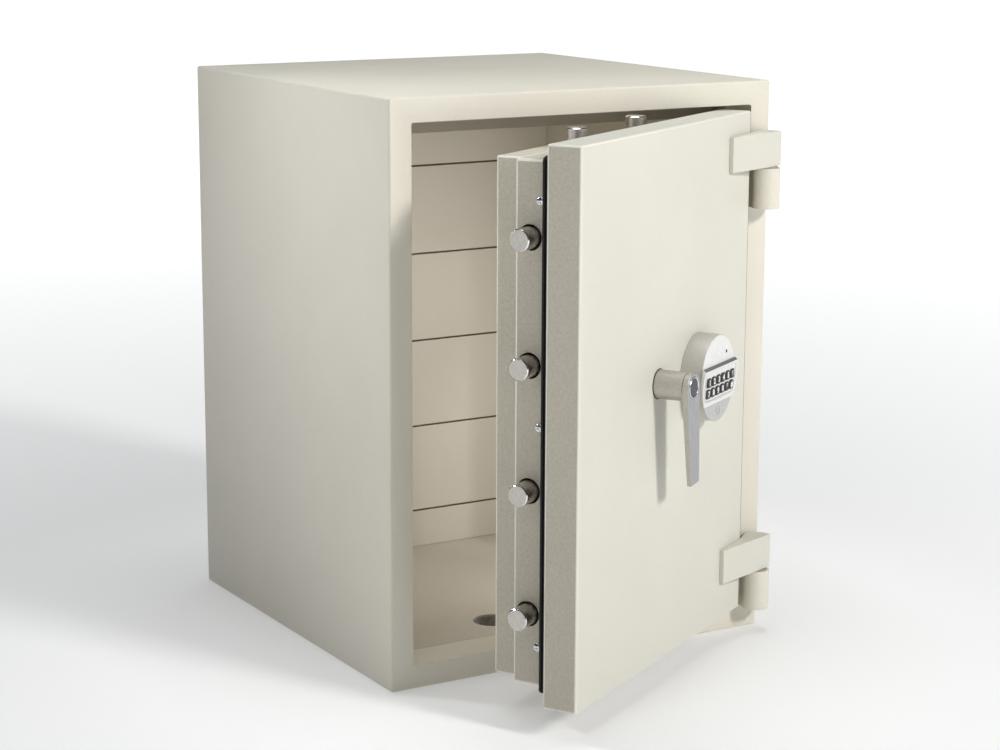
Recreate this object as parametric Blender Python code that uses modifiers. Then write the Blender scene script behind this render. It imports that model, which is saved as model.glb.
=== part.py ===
"""Free-standing security cabinet safe with its door ajar.

Frame: origin at the centre of the footprint on the floor, +X towards the hinges,
+Y towards the back, +Z up. Lengths are in metres. Door pieces are laid out with
the door closed, under an empty on the hinge axis that swings them open.
"""
import math

import bmesh
import bpy
from mathutils import Matrix

# ---------------------------------------------------------------- driving sizes
BODY_WIDTH = 0.510
BODY_DEPTH = 0.510
BODY_HEIGHT = 0.670
GAP = 0.0003                    # between pieces that touch
OVERCUT = 0.01                  # how far a cutter runs past what it cuts
CASING_WALL = 0.005
BORDER = 0.028                  # front border around the door opening
LIP_DEPTH = 0.050               # how far the border runs back
LINER_WALL = 0.003
SIDE_WALL = 0.046               # body wall, outside to the inner face of the liner
POCKET_WALL = 0.012             # thinner wall where the bolts are thrown
POCKET_BACK = 0.088             # from the front face to the back of the bolt pocket
CEILING = 0.050                 # top wall, outside to the liner ceiling
BACK_FACE = 0.425               # from the front face to the visible back panel
BACK_PANEL = 0.012
GROOVE_PITCH = 0.115
GROOVE_FIRST = 0.078            # height of the lowest groove
GROOVE_COUNT = 5
GROOVE_WIDTH = 0.0022
GROOVE_DEPTH = 0.0030
ANCHOR_BORE = 0.046             # access hole in the floor liner
ANCHOR_BOLT_BORE = 0.014
ANCHOR_HALF_SPACING = 0.065
ANCHOR_INSET = 0.100            # from the front face

DOOR_OPEN_DEG = 30.5            # the pose the model rests in
DOOR_THICKNESS = 0.040
DOOR_PROUD = 0.005              # door face in front of the body face
DOOR_GAP_LATCH = 0.007          # opening edge to door edge, latch side
DOOR_GAP_HINGE = 0.009
DOOR_GAP_HEIGHT = 0.005
DOOR_SKIN = 0.005
DOOR_HINGE_ROUND = 0.016        # radius on the rear edge beside the hinges
CABLE_BORE_RADIUS = 0.006
CABLE_RADIUS = 0.0025

PIN_INSET = 0.015               # hinge axis from the body's right side
PIN_FORWARD = 0.017             # hinge axis in front of the body face
PIN_RADIUS = 0.006
KNUCKLE_RADIUS = 0.0165
KNUCKLE_HEIGHT = 0.048
STRAP_HEIGHT = 0.041
STRAP_REACH = 0.084             # hinge axis to the strap's thin end
STRAP_HEIGHTS = {"upper": 0.5705, "lower": 0.0785}     # underside of each strap
STRAP_THIN = 0.0050             # strap thickness at its thin end
STRAP_SLOPE_DEG = 11.0
STRAP_END = 0.0140              # hinge axis to the strap's square end
PIN_IN_STRAP = 0.028            # how far a pin reaches up into its strap
WASHER_THICKNESS = 0.0010

BOX_LEFT_INSET = 0.029          # bolt box in from the door's latch edge
BOX_RIGHT_INSET = 0.033
BOX_LOW = 0.046
BOX_HIGH = 0.617
BOX_DEPTH = 0.0515
BOX_WALL = 0.003
COVER_DEPTH = 0.0300
COVER_STEP = 0.014
COVER_WALL = 0.002
WINDOW_RIM = 0.030              # flange left round the opening behind the cover
BOX_SCREW_HEIGHTS = (0.0895, 0.3325, 0.5735)
BOX_SCREW_BEHIND_FACE = 0.0565
BOX_SCREW_RADIUS = 0.0042
BOX_SCREW_HEAD = 0.0020
COVER_SCREW_INSET = 0.020
COVER_SCREW_RADIUS = 0.0045
COVER_SCREW_HEAD = 0.0022
SCREW_HEAD_TAPER = 0.72         # a screw head's outer face against its base
SEAL_WIDTH = 0.0125
SEAL_HEIGHT_WIDTH = 0.0057
SEAL_DEPTH = 0.0145

BOLT_RADIUS = 0.0120
BOLT_HOLE_RADIUS = 0.0142
BOLT_LENGTH = 0.062
BOLT_SHOW = 0.0247              # how far a side bolt stands out at rest
TOP_BOLT_SHOW = 0.0235
BOLT_BEHIND_FACE = 0.0695       # bolt axes from the plane of the body face
BOLT_MID_HEIGHT = 0.330
BOLT_PITCH = 0.1365
TOP_BOLT_X = (-0.085, 0.061)
CARRIER_WIDTH = 0.008
CARRIER_HALF_DEPTH = 0.010
CARRIER_OVERHANG = 0.018        # carrier past the outermost bolt's axis
DOG_HALF_DEPTH = 0.006
DOG_END_INSET = 0.030           # dog bar's ends in from the bolt box's
DOG_ENGAGE = 0.008              # how far it reaches behind the frame's lip
LOCK_LOW = (0.030, 0.300)       # lock case corners, x and z
LOCK_HIGH = (0.096, 0.392)
LOCK_DEPTH = 0.032
LOCK_BOLT_X = (0.055, 0.067)

HANDLE_X = -0.0253
HANDLE_Z = 0.3560
HUB_RADIUS = 0.0163
HUB_LENGTH = 0.0344
LEVER_THICKNESS = 0.0072
LEVER_TAPER = 0.0024            # the lever is this much thinner at its tip
LEVER_REACH = 0.1110
LEVER_TIP_WIDTH = 0.022
LEVER_LEAN_DEG = 4.5
SPINDLE_RADIUS = 0.006
CAP_RADIUS = 0.0118
CAP_SEAT_RADIUS = 0.0122
CAM_RADIUS = 0.018
CAM_THICKNESS = 0.005

KEYPAD_X = 0.076
KEYPAD_Z = 0.3470
KEYPAD_HALF_WIDTH = 0.0465
KEYPAD_HALF_HEIGHT = 0.0500
KEYPAD_DEPTH = 0.0270
FASCIA_LOW = 0.3193             # sloping key panel, thin at its lower edge
FASCIA_HIGH = 0.3640
FASCIA_PROUD = 0.0045
FASCIA_THIN = 0.0010
DRAWER_TOP = 0.3190             # split between the housing and the battery drawer
TRAY_HALF_WIDTH = 0.020
TRAY_HEIGHT = 0.045
TRAY_WALL = 0.0015
KEY_BAY_HALF_WIDTH = 0.0400
LENS_RIGHT = 0.0215             # status lens from the keypad's centre
LENS_UP = 0.0275
LENS_RADIUS = 0.0015
KEY_PITCH = 0.0129
KEY_ROW_HEIGHTS = (0.3470, 0.3340)
KEY_COLUMNS = 6
KEY_WIDTH = 0.0098
KEY_HEIGHT = 0.0104
KEY_PROUD = 0.0008

# ---------------------------------------------------------------- derived planes
FRONT = -BODY_DEPTH / 2
BACK = BODY_DEPTH / 2
HALF = BODY_WIDTH / 2
OPEN_HALF = HALF - BORDER
OPEN_LOW = BORDER
OPEN_HIGH = BODY_HEIGHT - BORDER
DOOR_LEFT = -OPEN_HALF + DOOR_GAP_LATCH
DOOR_RIGHT = OPEN_HALF - DOOR_GAP_HINGE
DOOR_LOW = OPEN_LOW + DOOR_GAP_HEIGHT
DOOR_HIGH = OPEN_HIGH - DOOR_GAP_HEIGHT
DOOR_FRONT = FRONT - DOOR_PROUD
DOOR_REAR = DOOR_FRONT + DOOR_THICKNESS
PIN_X = HALF - PIN_INSET
PIN_Y = FRONT - PIN_FORWARD
BOX_LEFT = DOOR_LEFT + BOX_LEFT_INSET
BOX_RIGHT = DOOR_RIGHT - BOX_RIGHT_INSET
BOX_FRONT = DOOR_REAR + GAP
BOX_REAR = BOX_FRONT + BOX_DEPTH
COVER_LEFT = BOX_LEFT + COVER_STEP
COVER_RIGHT = BOX_RIGHT - COVER_STEP
COVER_LOW = BOX_LOW + 0.0015
COVER_HIGH = BOX_HIGH - 0.0005
BOLT_Y = FRONT + BOLT_BEHIND_FACE
HANDLE_END_Y = DOOR_FRONT - GAP - HUB_LENGTH
HANDLE_AT_DOOR = (HANDLE_X, DOOR_FRONT, HANDLE_Z)
KEYPAD_FACE_Y = DOOR_FRONT - GAP - KEYPAD_DEPTH

CREAM = (0.78, 0.75, 0.66, 1.0)
BARE_STEEL = (0.56, 0.55, 0.53, 1.0)
BRASS = (0.70, 0.52, 0.25, 1.0)
CEMENT = (0.42, 0.41, 0.39, 1.0)
SILVER = (0.66, 0.66, 0.67, 1.0)
ZINC = (0.50, 0.50, 0.49, 1.0)
HANDLE_METAL = (0.60, 0.59, 0.56, 1.0)
LEVER_METAL = (0.60, 0.59, 0.58, 1.0)
DARK_PLASTIC = (0.10, 0.10, 0.11, 1.0)
BLACK = (0.02, 0.02, 0.02, 1.0)
CABLE_BLACK = (0.03, 0.03, 0.03, 1.0)


# ---------------------------------------------------------------- scene helpers
def clear_scene():
    for thing in list(bpy.data.objects):
        bpy.data.objects.remove(thing, do_unlink=True)


def make_collection(name):
    collection = bpy.data.collections.new(name)
    bpy.context.scene.collection.children.link(collection)
    return collection


clear_scene()
PARTS = make_collection("cabinet_safe")
CUTTERS = make_collection("cutters")


def material(name, colour, roughness, metallic):
    surface = bpy.data.materials.new(name)
    surface.use_nodes = True
    shader = surface.node_tree.nodes["Principled BSDF"]
    shader.inputs["Base Color"].default_value = colour
    shader.inputs["Roughness"].default_value = roughness
    shader.inputs["Metallic"].default_value = metallic
    return surface


def paint(obj, colour, roughness, metallic):
    obj.data.materials.clear()
    obj.data.materials.append(material(obj.name + "_finish", colour, roughness, metallic))


def painted(obj):
    paint(obj, CREAM, 0.55, 0.0)
    return obj


def steel(obj, roughness=0.32):
    paint(obj, BARE_STEEL, roughness, 1.0)
    return obj


def axis_empty(name, point, parent=None):
    """An empty on a joint's axis; its children keep closed-door coordinates."""
    empty = bpy.data.objects.new(name, None)
    PARTS.objects.link(empty)
    empty["point"] = point
    offset = parent["point"] if parent is not None else (0.0, 0.0, 0.0)
    empty.parent = parent
    empty.location = [point[i] - offset[i] for i in range(3)]
    return empty


def adopt(obj, parent):
    """Hang an object, placed in closed-door coordinates, under an axis empty."""
    if parent is not None:
        offset = parent["point"]
        obj.location = [obj.location[i] - offset[i] for i in range(3)]
        obj.parent = parent
    return obj


def mesh_object(name, mesh_builder, centre=(0.0, 0.0, 0.0), parent=None, cutter=False):
    mesh = bpy.data.meshes.new(name)
    shape = bmesh.new()
    mesh_builder(shape)
    bmesh.ops.recalc_face_normals(shape, faces=shape.faces)
    shape.to_mesh(mesh)
    shape.free()
    obj = bpy.data.objects.new(name, mesh)
    obj.location = centre
    (CUTTERS if cutter else PARTS).objects.link(obj)
    if cutter:
        obj.hide_render = True
        obj.display_type = "WIRE"
    return adopt(obj, parent)


def box(name, low, high, parent=None, cutter=False):
    """A block between two corners, with its origin at its centre."""
    size = [high[i] - low[i] for i in range(3)]
    centre = [(high[i] + low[i]) / 2 for i in range(3)]

    def build(shape):
        bmesh.ops.create_cube(shape, size=1.0)
        bmesh.ops.scale(shape, vec=size, verts=shape.verts)

    return mesh_object(name, build, centre, parent, cutter)


AXIS_TURN = {"X": (math.pi / 2, "Y"), "Y": (-math.pi / 2, "X"), "Z": (0.0, "Z")}


def cylinder(name, centre, axis, radius, length, segments=32, parent=None, cutter=False,
             end_radius=None):
    """A cylinder or cone along X, Y or Z, centred on a point."""
    angle, about = AXIS_TURN[axis]

    def build(shape):
        bmesh.ops.create_cone(shape, cap_ends=True, segments=segments, radius1=radius,
                              radius2=radius if end_radius is None else end_radius,
                              depth=length)
        bmesh.ops.rotate(shape, verts=shape.verts, matrix=Matrix.Rotation(angle, 3, about))

    obj = mesh_object(name, build, centre, parent, cutter)
    if not cutter:
        smooth(obj)
    return obj


def smooth(obj, angle_deg=40.0):
    obj.data.shade_smooth()
    obj.data.set_sharp_from_angle(angle=math.radians(angle_deg))


PRISM_TURN = {"X": (math.pi / 2, 0.0, math.pi / 2), "Y": (math.pi / 2, 0.0, 0.0),
              "Z": (0.0, 0.0, 0.0)}


def prism(name, outline, axis, low, high, parent=None, cutter=False):
    """A flat outline swept along an axis: XY along Z, XZ along Y, YZ along X."""
    curve = bpy.data.curves.new(name, "CURVE")
    curve.dimensions = "2D"
    curve.fill_mode = "BOTH"
    curve.extrude = (high - low) / 2
    spline = curve.splines.new("POLY")
    spline.points.add(len(outline) - 1)
    for point, (u, v) in zip(spline.points, outline):
        point.co = (u, v, 0.0, 1.0)
    spline.use_cyclic_u = True
    flat = bpy.data.objects.new(name + "_outline", curve)
    bpy.context.scene.collection.objects.link(flat)
    flat.rotation_euler = PRISM_TURN[axis]
    flat.location = [(low + high) / 2 if axis == name_of_axis else 0.0 for name_of_axis in "XYZ"]
    bpy.context.view_layer.update()
    evaluated = flat.evaluated_get(bpy.context.evaluated_depsgraph_get())
    mesh = bpy.data.meshes.new_from_object(evaluated)
    mesh.name = name
    mesh.transform(flat.matrix_world)
    shape = bmesh.new()
    shape.from_mesh(mesh)
    bmesh.ops.remove_doubles(shape, verts=shape.verts, dist=1e-6)
    bmesh.ops.recalc_face_normals(shape, faces=shape.faces)
    shape.to_mesh(mesh)
    shape.free()
    bpy.data.objects.remove(flat, do_unlink=True)
    bpy.data.curves.remove(curve)
    obj = bpy.data.objects.new(name, mesh)
    (CUTTERS if cutter else PARTS).objects.link(obj)
    if cutter:
        obj.hide_render = True
        obj.display_type = "WIRE"
    return adopt(obj, parent)


def boolean(obj, other, operation="DIFFERENCE"):
    cut = obj.modifiers.new(operation.lower() + "_" + other.name, "BOOLEAN")
    cut.object = other
    cut.operation = operation
    cut.solver = "EXACT"


def bevel(obj, width, segments=2, angle_deg=40.0):
    rounding = obj.modifiers.new("rounded_edges", "BEVEL")
    rounding.width = width
    rounding.segments = segments
    rounding.limit_method = "ANGLE"
    rounding.angle_limit = math.radians(angle_deg)


def arc(centre, radius, start_deg, end_deg, steps):
    points = []
    for i in range(steps + 1):
        a = math.radians(start_deg + (end_deg - start_deg) * i / steps)
        points.append((centre[0] + radius * math.cos(a), centre[1] + radius * math.sin(a)))
    return points


# ---------------------------------------------------------------- body
def build_casing():
    casing = painted(box("outer_casing", (-HALF, FRONT, 0.0), (HALF, BACK, BODY_HEIGHT)))
    bevel(casing, 0.0015)
    hollow = box("casing_hollow", (-HALF + CASING_WALL, FRONT - 0.02, CASING_WALL),
                 (HALF - CASING_WALL, BACK - CASING_WALL, BODY_HEIGHT - CASING_WALL), cutter=True)
    boolean(casing, hollow)
    for side in (-1, 1):
        bore = cylinder("casing_anchor_bore_%d" % side,
                        (side * ANCHOR_HALF_SPACING, FRONT + ANCHOR_INSET, 0.0), "Z",
                        ANCHOR_BOLT_BORE / 2, 0.04, 24, cutter=True)
        boolean(casing, bore)


def build_front_frame():
    clear = CASING_WALL + GAP
    frame = painted(box("front_frame", (-HALF + clear, FRONT, clear),
                        (HALF - clear, FRONT + LIP_DEPTH, BODY_HEIGHT - clear)))
    opening = box("door_opening", (-OPEN_HALF, FRONT - 0.02, OPEN_LOW),
                  (OPEN_HALF, FRONT + LIP_DEPTH + 0.02, OPEN_HIGH), cutter=True)
    bevel(opening, 0.002)
    boolean(frame, opening)


def stepped_cavity(name, grow, front, cutter):
    """Bolt pocket and storage space, grown outwards by a wall thickness."""
    pocket_half = HALF - POCKET_WALL + grow
    cavity_half = HALF - SIDE_WALL + grow
    low = OPEN_LOW - grow
    pocket = box(name, (-pocket_half, front, low),
                 (pocket_half, FRONT + POCKET_BACK + grow, BODY_HEIGHT - POCKET_WALL + grow),
                 cutter=cutter)
    cavity = box(name + "_deep", (-cavity_half, front + 0.01, low),
                 (cavity_half, FRONT + BACK_FACE + BACK_PANEL + GAP + grow,
                  BODY_HEIGHT - CEILING + grow), cutter=True)
    boolean(pocket, cavity, "UNION")
    return pocket


def build_liner():
    start = FRONT + LIP_DEPTH + GAP
    liner = painted(stepped_cavity("inner_liner", LINER_WALL, start, False))
    boolean(liner, stepped_cavity("liner_hollow", 0.0, start - 0.02, True))
    for side in (-1, 1):
        hole = cylinder("liner_anchor_hole_%d" % side,
                        (side * ANCHOR_HALF_SPACING, FRONT + ANCHOR_INSET, OPEN_LOW), "Z",
                        ANCHOR_BORE / 2, 0.03, 40, cutter=True)
        boolean(liner, hole)


def build_fill():
    clear = CASING_WALL + GAP
    start = FRONT + LIP_DEPTH + GAP
    fill = box("barrier_fill", (-HALF + clear, start, clear),
               (HALF - clear, BACK - clear, BODY_HEIGHT - clear))
    paint(fill, CEMENT, 0.9, 0.0)
    boolean(fill, stepped_cavity("fill_hollow", LINER_WALL + GAP, start - 0.02, True))
    for side in (-1, 1):
        well = cylinder("fill_anchor_well_%d" % side,
                        (side * ANCHOR_HALF_SPACING, FRONT + ANCHOR_INSET, OPEN_LOW / 2), "Z",
                        ANCHOR_BORE / 2, 0.06, 40, cutter=True)
        boolean(fill, well)


def build_back_panel():
    half = HALF - SIDE_WALL - GAP
    face = FRONT + BACK_FACE
    panel = painted(box("back_panel", (-half, face, OPEN_LOW + GAP),
                        (half, face + BACK_PANEL, BODY_HEIGHT - CEILING - GAP)))
    for i in range(GROOVE_COUNT):
        height = GROOVE_FIRST + i * GROOVE_PITCH
        groove = box("panel_groove_%d" % (i + 1),
                     (-half - 0.01, face - 0.01, height - GROOVE_WIDTH / 2),
                     (half + 0.01, face + GROOVE_DEPTH, height + GROOVE_WIDTH / 2), cutter=True)
        boolean(panel, groove)


def build_body_hinge(which, strap_low):
    top = strap_low - GAP - WASHER_THICKNESS - GAP
    low = top - KNUCKLE_HEIGHT
    middle = (top + low) / 2
    knuckle = painted(cylinder("hinge_knuckle_" + which, (PIN_X, PIN_Y, middle), "Z",
                               KNUCKLE_RADIUS, KNUCKLE_HEIGHT, 40))
    foot = box("knuckle_foot_" + which, (PIN_X - 0.013, PIN_Y, low),
               (PIN_X + 0.0145, FRONT - GAP, top), cutter=True)
    boolean(knuckle, foot, "UNION")
    boolean(knuckle, cylinder("knuckle_bore_" + which, (PIN_X, PIN_Y, middle), "Z",
                              PIN_RADIUS + GAP, KNUCKLE_HEIGHT + 0.02, 32, cutter=True))
    pin_top = strap_low + PIN_IN_STRAP
    steel(cylinder("hinge_pin_" + which, (PIN_X, PIN_Y, (low + pin_top) / 2), "Z",
                   PIN_RADIUS, pin_top - low, 32))
    washer = cylinder("thrust_washer_" + which,
                      (PIN_X, PIN_Y, top + GAP + WASHER_THICKNESS / 2), "Z",
                      KNUCKLE_RADIUS - 0.003, WASHER_THICKNESS, 40)
    paint(washer, BRASS, 0.35, 1.0)
    boolean(washer, cylinder("washer_bore_" + which, (PIN_X, PIN_Y, top), "Z",
                             PIN_RADIUS + GAP, 0.02, 32, cutter=True))


# ---------------------------------------------------------------- door
def build_door_slab(door):
    pan = painted(box("door_pan", (DOOR_LEFT, DOOR_FRONT, DOOR_LOW),
                      (DOOR_RIGHT, DOOR_REAR, DOOR_HIGH), door))
    corner = DOOR_HINGE_ROUND
    outline = [(DOOR_RIGHT - corner, DOOR_REAR + OVERCUT),
               (DOOR_RIGHT + OVERCUT, DOOR_REAR + OVERCUT),
               (DOOR_RIGHT + OVERCUT, DOOR_REAR - corner)]
    outline += arc((DOOR_RIGHT - corner, DOOR_REAR - corner), corner, 0, 90, 8)
    boolean(pan, prism("door_hinge_round", outline, "Z", DOOR_LOW - OVERCUT,
                       DOOR_HIGH + OVERCUT, door, cutter=True))
    inner = (DOOR_LEFT + DOOR_SKIN, DOOR_FRONT + DOOR_SKIN, DOOR_LOW + DOOR_SKIN)
    far = (DOOR_RIGHT - DOOR_SKIN - corner, DOOR_REAR, DOOR_HIGH - DOOR_SKIN)
    boolean(pan, box("pan_hollow", inner, (far[0], DOOR_REAR + 0.02, far[2]), door, cutter=True))
    fill = box("door_fill", [v + GAP for v in inner],
               (far[0] - GAP, DOOR_REAR - DOOR_SKIN - GAP, far[2] - GAP), door)
    paint(fill, CEMENT, 0.9, 0.0)
    plate = painted(box("door_back_plate", (inner[0] + GAP, DOOR_REAR - DOOR_SKIN, inner[2] + GAP),
                        (far[0] - GAP, DOOR_REAR, far[2] - GAP), door))
    spindle_bore = cylinder("spindle_bore", HANDLE_AT_DOOR, "Y",
                            SPINDLE_RADIUS + 0.001, 0.2, 32, door, cutter=True)
    cable_bore = cylinder("cable_bore", (KEYPAD_X, DOOR_FRONT, KEYPAD_Z), "Y",
                          CABLE_BORE_RADIUS, 0.2, 24, door, cutter=True)
    for slab_piece in (pan, fill, plate):
        boolean(slab_piece, spindle_bore)
        boolean(slab_piece, cable_bore)


def bolt_heights():
    return [BOLT_MID_HEIGHT + (i - 1.5) * BOLT_PITCH for i in range(4)]


def build_bolt_box(door):
    case = painted(box("bolt_box", (BOX_LEFT, BOX_FRONT, BOX_LOW),
                       (BOX_RIGHT, BOX_REAR, BOX_HIGH), door))
    wall = BOX_WALL
    boolean(case, box("bolt_box_hollow", (BOX_LEFT + wall, BOX_FRONT - OVERCUT, BOX_LOW + wall),
                      (BOX_RIGHT - wall, BOX_REAR - wall, BOX_HIGH - wall), door, cutter=True))
    rim = WINDOW_RIM
    boolean(case, box("bolt_box_window", (BOX_LEFT + rim, BOX_REAR - 0.02, BOX_LOW + rim),
                      (BOX_RIGHT - rim, BOX_REAR + 0.02, BOX_HIGH - rim), door, cutter=True))
    for i, height in enumerate(bolt_heights()):
        boolean(case, cylinder("side_bolt_hole_%d" % (i + 1), (BOX_LEFT, BOLT_Y, height), "X",
                               BOLT_HOLE_RADIUS, 0.02, 40, door, cutter=True))
    for i, x in enumerate(TOP_BOLT_X):
        boolean(case, cylinder("top_bolt_hole_%d" % (i + 1), (x, BOLT_Y, BOX_HIGH), "Z",
                               BOLT_HOLE_RADIUS, 0.02, 40, door, cutter=True))
    cover_front = BOX_REAR + GAP
    cover = painted(box("rear_cover", (COVER_LEFT, cover_front, COVER_LOW),
                        (COVER_RIGHT, cover_front + COVER_DEPTH, COVER_HIGH), door))
    bevel(cover, 0.001, 1)
    skin = COVER_WALL
    boolean(cover, box("rear_cover_hollow",
                       (COVER_LEFT + skin, cover_front - OVERCUT, COVER_LOW + skin),
                       (COVER_RIGHT - skin, cover_front + COVER_DEPTH - skin, COVER_HIGH - skin),
                       door, cutter=True))
    build_cover_screws(door, cover_front + COVER_DEPTH)


def pan_screw(name, centre, axis, outward, radius, height, door, slot_axes):
    """A low domed head with a cross recess, standing on a face."""
    middle = list(centre)
    index = "XYZ".index(axis)
    middle[index] += outward * (GAP + height / 2)
    narrow = radius * SCREW_HEAD_TAPER
    head = cylinder(name, middle, axis, radius if outward > 0 else narrow, height, 24, door,
                    end_radius=narrow if outward > 0 else radius)
    steel(head, 0.25)
    for blade, across in enumerate(slot_axes):
        half = [0.0005] * 3
        half["XYZ".index(across)] = radius * 0.55
        half[index] = height * 0.35
        tip = list(centre)
        tip[index] += outward * (GAP + height)
        low = [tip[i] - half[i] for i in range(3)]
        high = [tip[i] + half[i] for i in range(3)]
        boolean(head, box("%s_slot_%d" % (name, blade + 1), low, high, door, cutter=True))


def build_box_screws(door):
    screw_y = FRONT + BOX_SCREW_BEHIND_FACE
    for i, height in enumerate(BOX_SCREW_HEIGHTS):
        pan_screw("box_screw_%d" % (i + 1), (BOX_LEFT, screw_y, height), "X", -1,
                  BOX_SCREW_RADIUS, BOX_SCREW_HEAD, door, ("Y", "Z"))


def build_cover_screws(door, rear):
    inset = COVER_SCREW_INSET
    spots = [(x, z) for x in (COVER_LEFT + inset, COVER_RIGHT - inset)
             for z in (COVER_LOW + inset, COVER_HIGH - inset)]
    for i, (x, z) in enumerate(spots):
        pan_screw("cover_screw_%d" % (i + 1), (x, rear, z), "Y", 1,
                  COVER_SCREW_RADIUS, COVER_SCREW_HEAD, door, ("X", "Z"))


def build_seal(door):
    rear = BOX_FRONT + SEAL_DEPTH
    seal = box("door_seal", (BOX_LEFT - SEAL_WIDTH, BOX_FRONT, BOX_LOW - SEAL_HEIGHT_WIDTH),
               (BOX_RIGHT + SEAL_WIDTH, rear, BOX_HIGH + SEAL_HEIGHT_WIDTH), door)
    bevel(seal, 0.002, 2)
    paint(seal, BLACK, 0.7, 0.0)
    boolean(seal, box("seal_hollow", (BOX_LEFT - GAP, BOX_FRONT - 0.02, BOX_LOW - GAP),
                      (BOX_RIGHT + GAP, rear + 0.02, BOX_HIGH + GAP), door, cutter=True))


def build_dog_bar(door):
    """Fixed bar that hooks behind the body lip on the hinge side."""
    bar = painted(box("hinge_dog_bar",
                      (BOX_RIGHT + GAP, BOLT_Y - DOG_HALF_DEPTH, BOX_LOW + DOG_END_INSET),
                      (OPEN_HALF + DOG_ENGAGE, BOLT_Y + DOG_HALF_DEPTH, BOX_HIGH - DOG_END_INSET),
                      door))
    bevel(bar, 0.001, 1)


def build_strap(which, strap_low, door):
    """Wedge-shaped strap on the door face, turned round the pin at its end."""
    slope = math.tan(math.radians(STRAP_SLOPE_DEG))
    face = DOOR_FRONT - GAP
    thin = STRAP_THIN
    left = PIN_X - STRAP_REACH
    right = PIN_X + STRAP_END
    front_right = (right, face - thin - (right - left) * slope)
    barrel = KNUCKLE_RADIUS - 0.0008
    outline = [(left, face), (left, face - thin), front_right, (right + 0.0012, PIN_Y - 0.004)]
    outline += arc((PIN_X, PIN_Y), barrel, -8, 104, 12)
    outline += [(DOOR_RIGHT - 0.001, face)]
    strap = painted(prism("hinge_strap_" + which, outline, "Z", strap_low,
                          strap_low + STRAP_HEIGHT, door))
    boolean(strap, cylinder("strap_bore_" + which, (PIN_X, PIN_Y, strap_low), "Z",
                            PIN_RADIUS + 0.0004, 0.060, 32, door, cutter=True))


# ---------------------------------------------------------------- handle
def build_handle(door):
    axis = axis_empty("handle_axis", (HANDLE_X, HANDLE_END_Y, HANDLE_Z), door)
    hub = cylinder("handle_hub", (HANDLE_X, HANDLE_END_Y + HUB_LENGTH / 2, HANDLE_Z), "Y",
                   HUB_RADIUS, HUB_LENGTH, 48, axis)
    paint(hub, HANDLE_METAL, 0.38, 1.0)
    boolean(hub, cylinder("hub_socket", HANDLE_AT_DOOR, "Y",
                          SPINDLE_RADIUS + GAP, 0.040, 32, axis, cutter=True))
    lever_rear = HANDLE_END_Y - GAP
    lean = math.radians(LEVER_LEAN_DEG)
    tip_x = HANDLE_X + LEVER_REACH * math.sin(lean)
    tip_z = HANDLE_Z - LEVER_REACH * math.cos(lean)
    side = LEVER_TIP_WIDTH / 2
    outline = arc((HANDLE_X, HANDLE_Z), HUB_RADIUS, -8, 188, 24)
    outline += [(tip_x - side * math.cos(lean), tip_z - side * math.sin(lean)),
                (tip_x + side * math.cos(lean), tip_z + side * math.sin(lean))]
    lever = prism("handle_lever", outline, "Y", lever_rear - LEVER_THICKNESS, lever_rear, axis)
    paint(lever, LEVER_METAL, 0.36, 1.0)
    cap_bore = cylinder("cap_seat", (HANDLE_X, lever_rear - LEVER_THICKNESS, HANDLE_Z), "Y",
                        CAP_SEAT_RADIUS, 0.003, 40, axis, cutter=True)
    boolean(lever, cap_bore)
    behind = lever_rear + 0.002
    boolean(lever, prism("lever_taper", [(behind, HANDLE_Z - 0.026), (behind, tip_z - 0.02),
                                         (lever_rear - LEVER_TAPER, tip_z - 0.004),
                                         (lever_rear, HANDLE_Z - 0.026)],
                         "X", HANDLE_X - 0.04, HANDLE_X + 0.04, axis, cutter=True))
    cap = cylinder("handle_cap", (HANDLE_X, lever_rear - LEVER_THICKNESS + 0.0006, HANDLE_Z), "Y",
                   CAP_RADIUS, 0.0016, 40, axis)
    paint(cap, DARK_PLASTIC, 0.5, 0.0)
    start = DOOR_FRONT - 0.0180
    end = BOX_REAR - BOX_WALL - 0.0100
    steel(cylinder("handle_spindle", (HANDLE_X, (start + end) / 2, HANDLE_Z), "Y",
                   SPINDLE_RADIUS, end - start, 32, axis))
    return axis


# ---------------------------------------------------------------- boltwork
def bolt(name, tip, axis, inward, parent):
    """A round bar with a turned chamfer at its outer end."""
    index = "XYZ".index(axis)
    centre = list(tip)
    centre[index] += inward * BOLT_LENGTH / 2
    bar = cylinder(name, centre, axis, BOLT_RADIUS, BOLT_LENGTH, 40, parent)
    bevel(bar, 0.0010, 1, 60.0)
    steel(bar)


def build_side_bolts(door):
    tip_x = BOX_LEFT - BOLT_SHOW
    for i, height in enumerate(bolt_heights()):
        bolt("side_bolt_%d" % (i + 1), (tip_x, BOLT_Y, height), "X", 1, door)
    bar_x = tip_x + BOLT_LENGTH + GAP
    reach = 1.5 * BOLT_PITCH + CARRIER_OVERHANG
    carrier = steel(box("side_bolt_carrier",
                        (bar_x, BOLT_Y - CARRIER_HALF_DEPTH, BOLT_MID_HEIGHT - reach),
                        (bar_x + CARRIER_WIDTH, BOLT_Y + CARRIER_HALF_DEPTH,
                         BOLT_MID_HEIGHT + reach), door))
    tab_x = LOCK_BOLT_X[1] + 0.0015
    arm_low = LOCK_HIGH[1] + 0.016
    arm = box("carrier_arm", (bar_x + 0.004, BOLT_Y - 0.004, arm_low),
              (tab_x + 0.008, BOLT_Y, arm_low + 0.012), door, cutter=True)
    tab = box("carrier_tab", (tab_x, BOLT_Y - 0.004, LOCK_HIGH[1] + 0.0025),
              (tab_x + 0.008, BOLT_Y, arm_low + 0.006), door, cutter=True)
    boolean(carrier, arm, "UNION")
    boolean(carrier, tab, "UNION")


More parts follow.
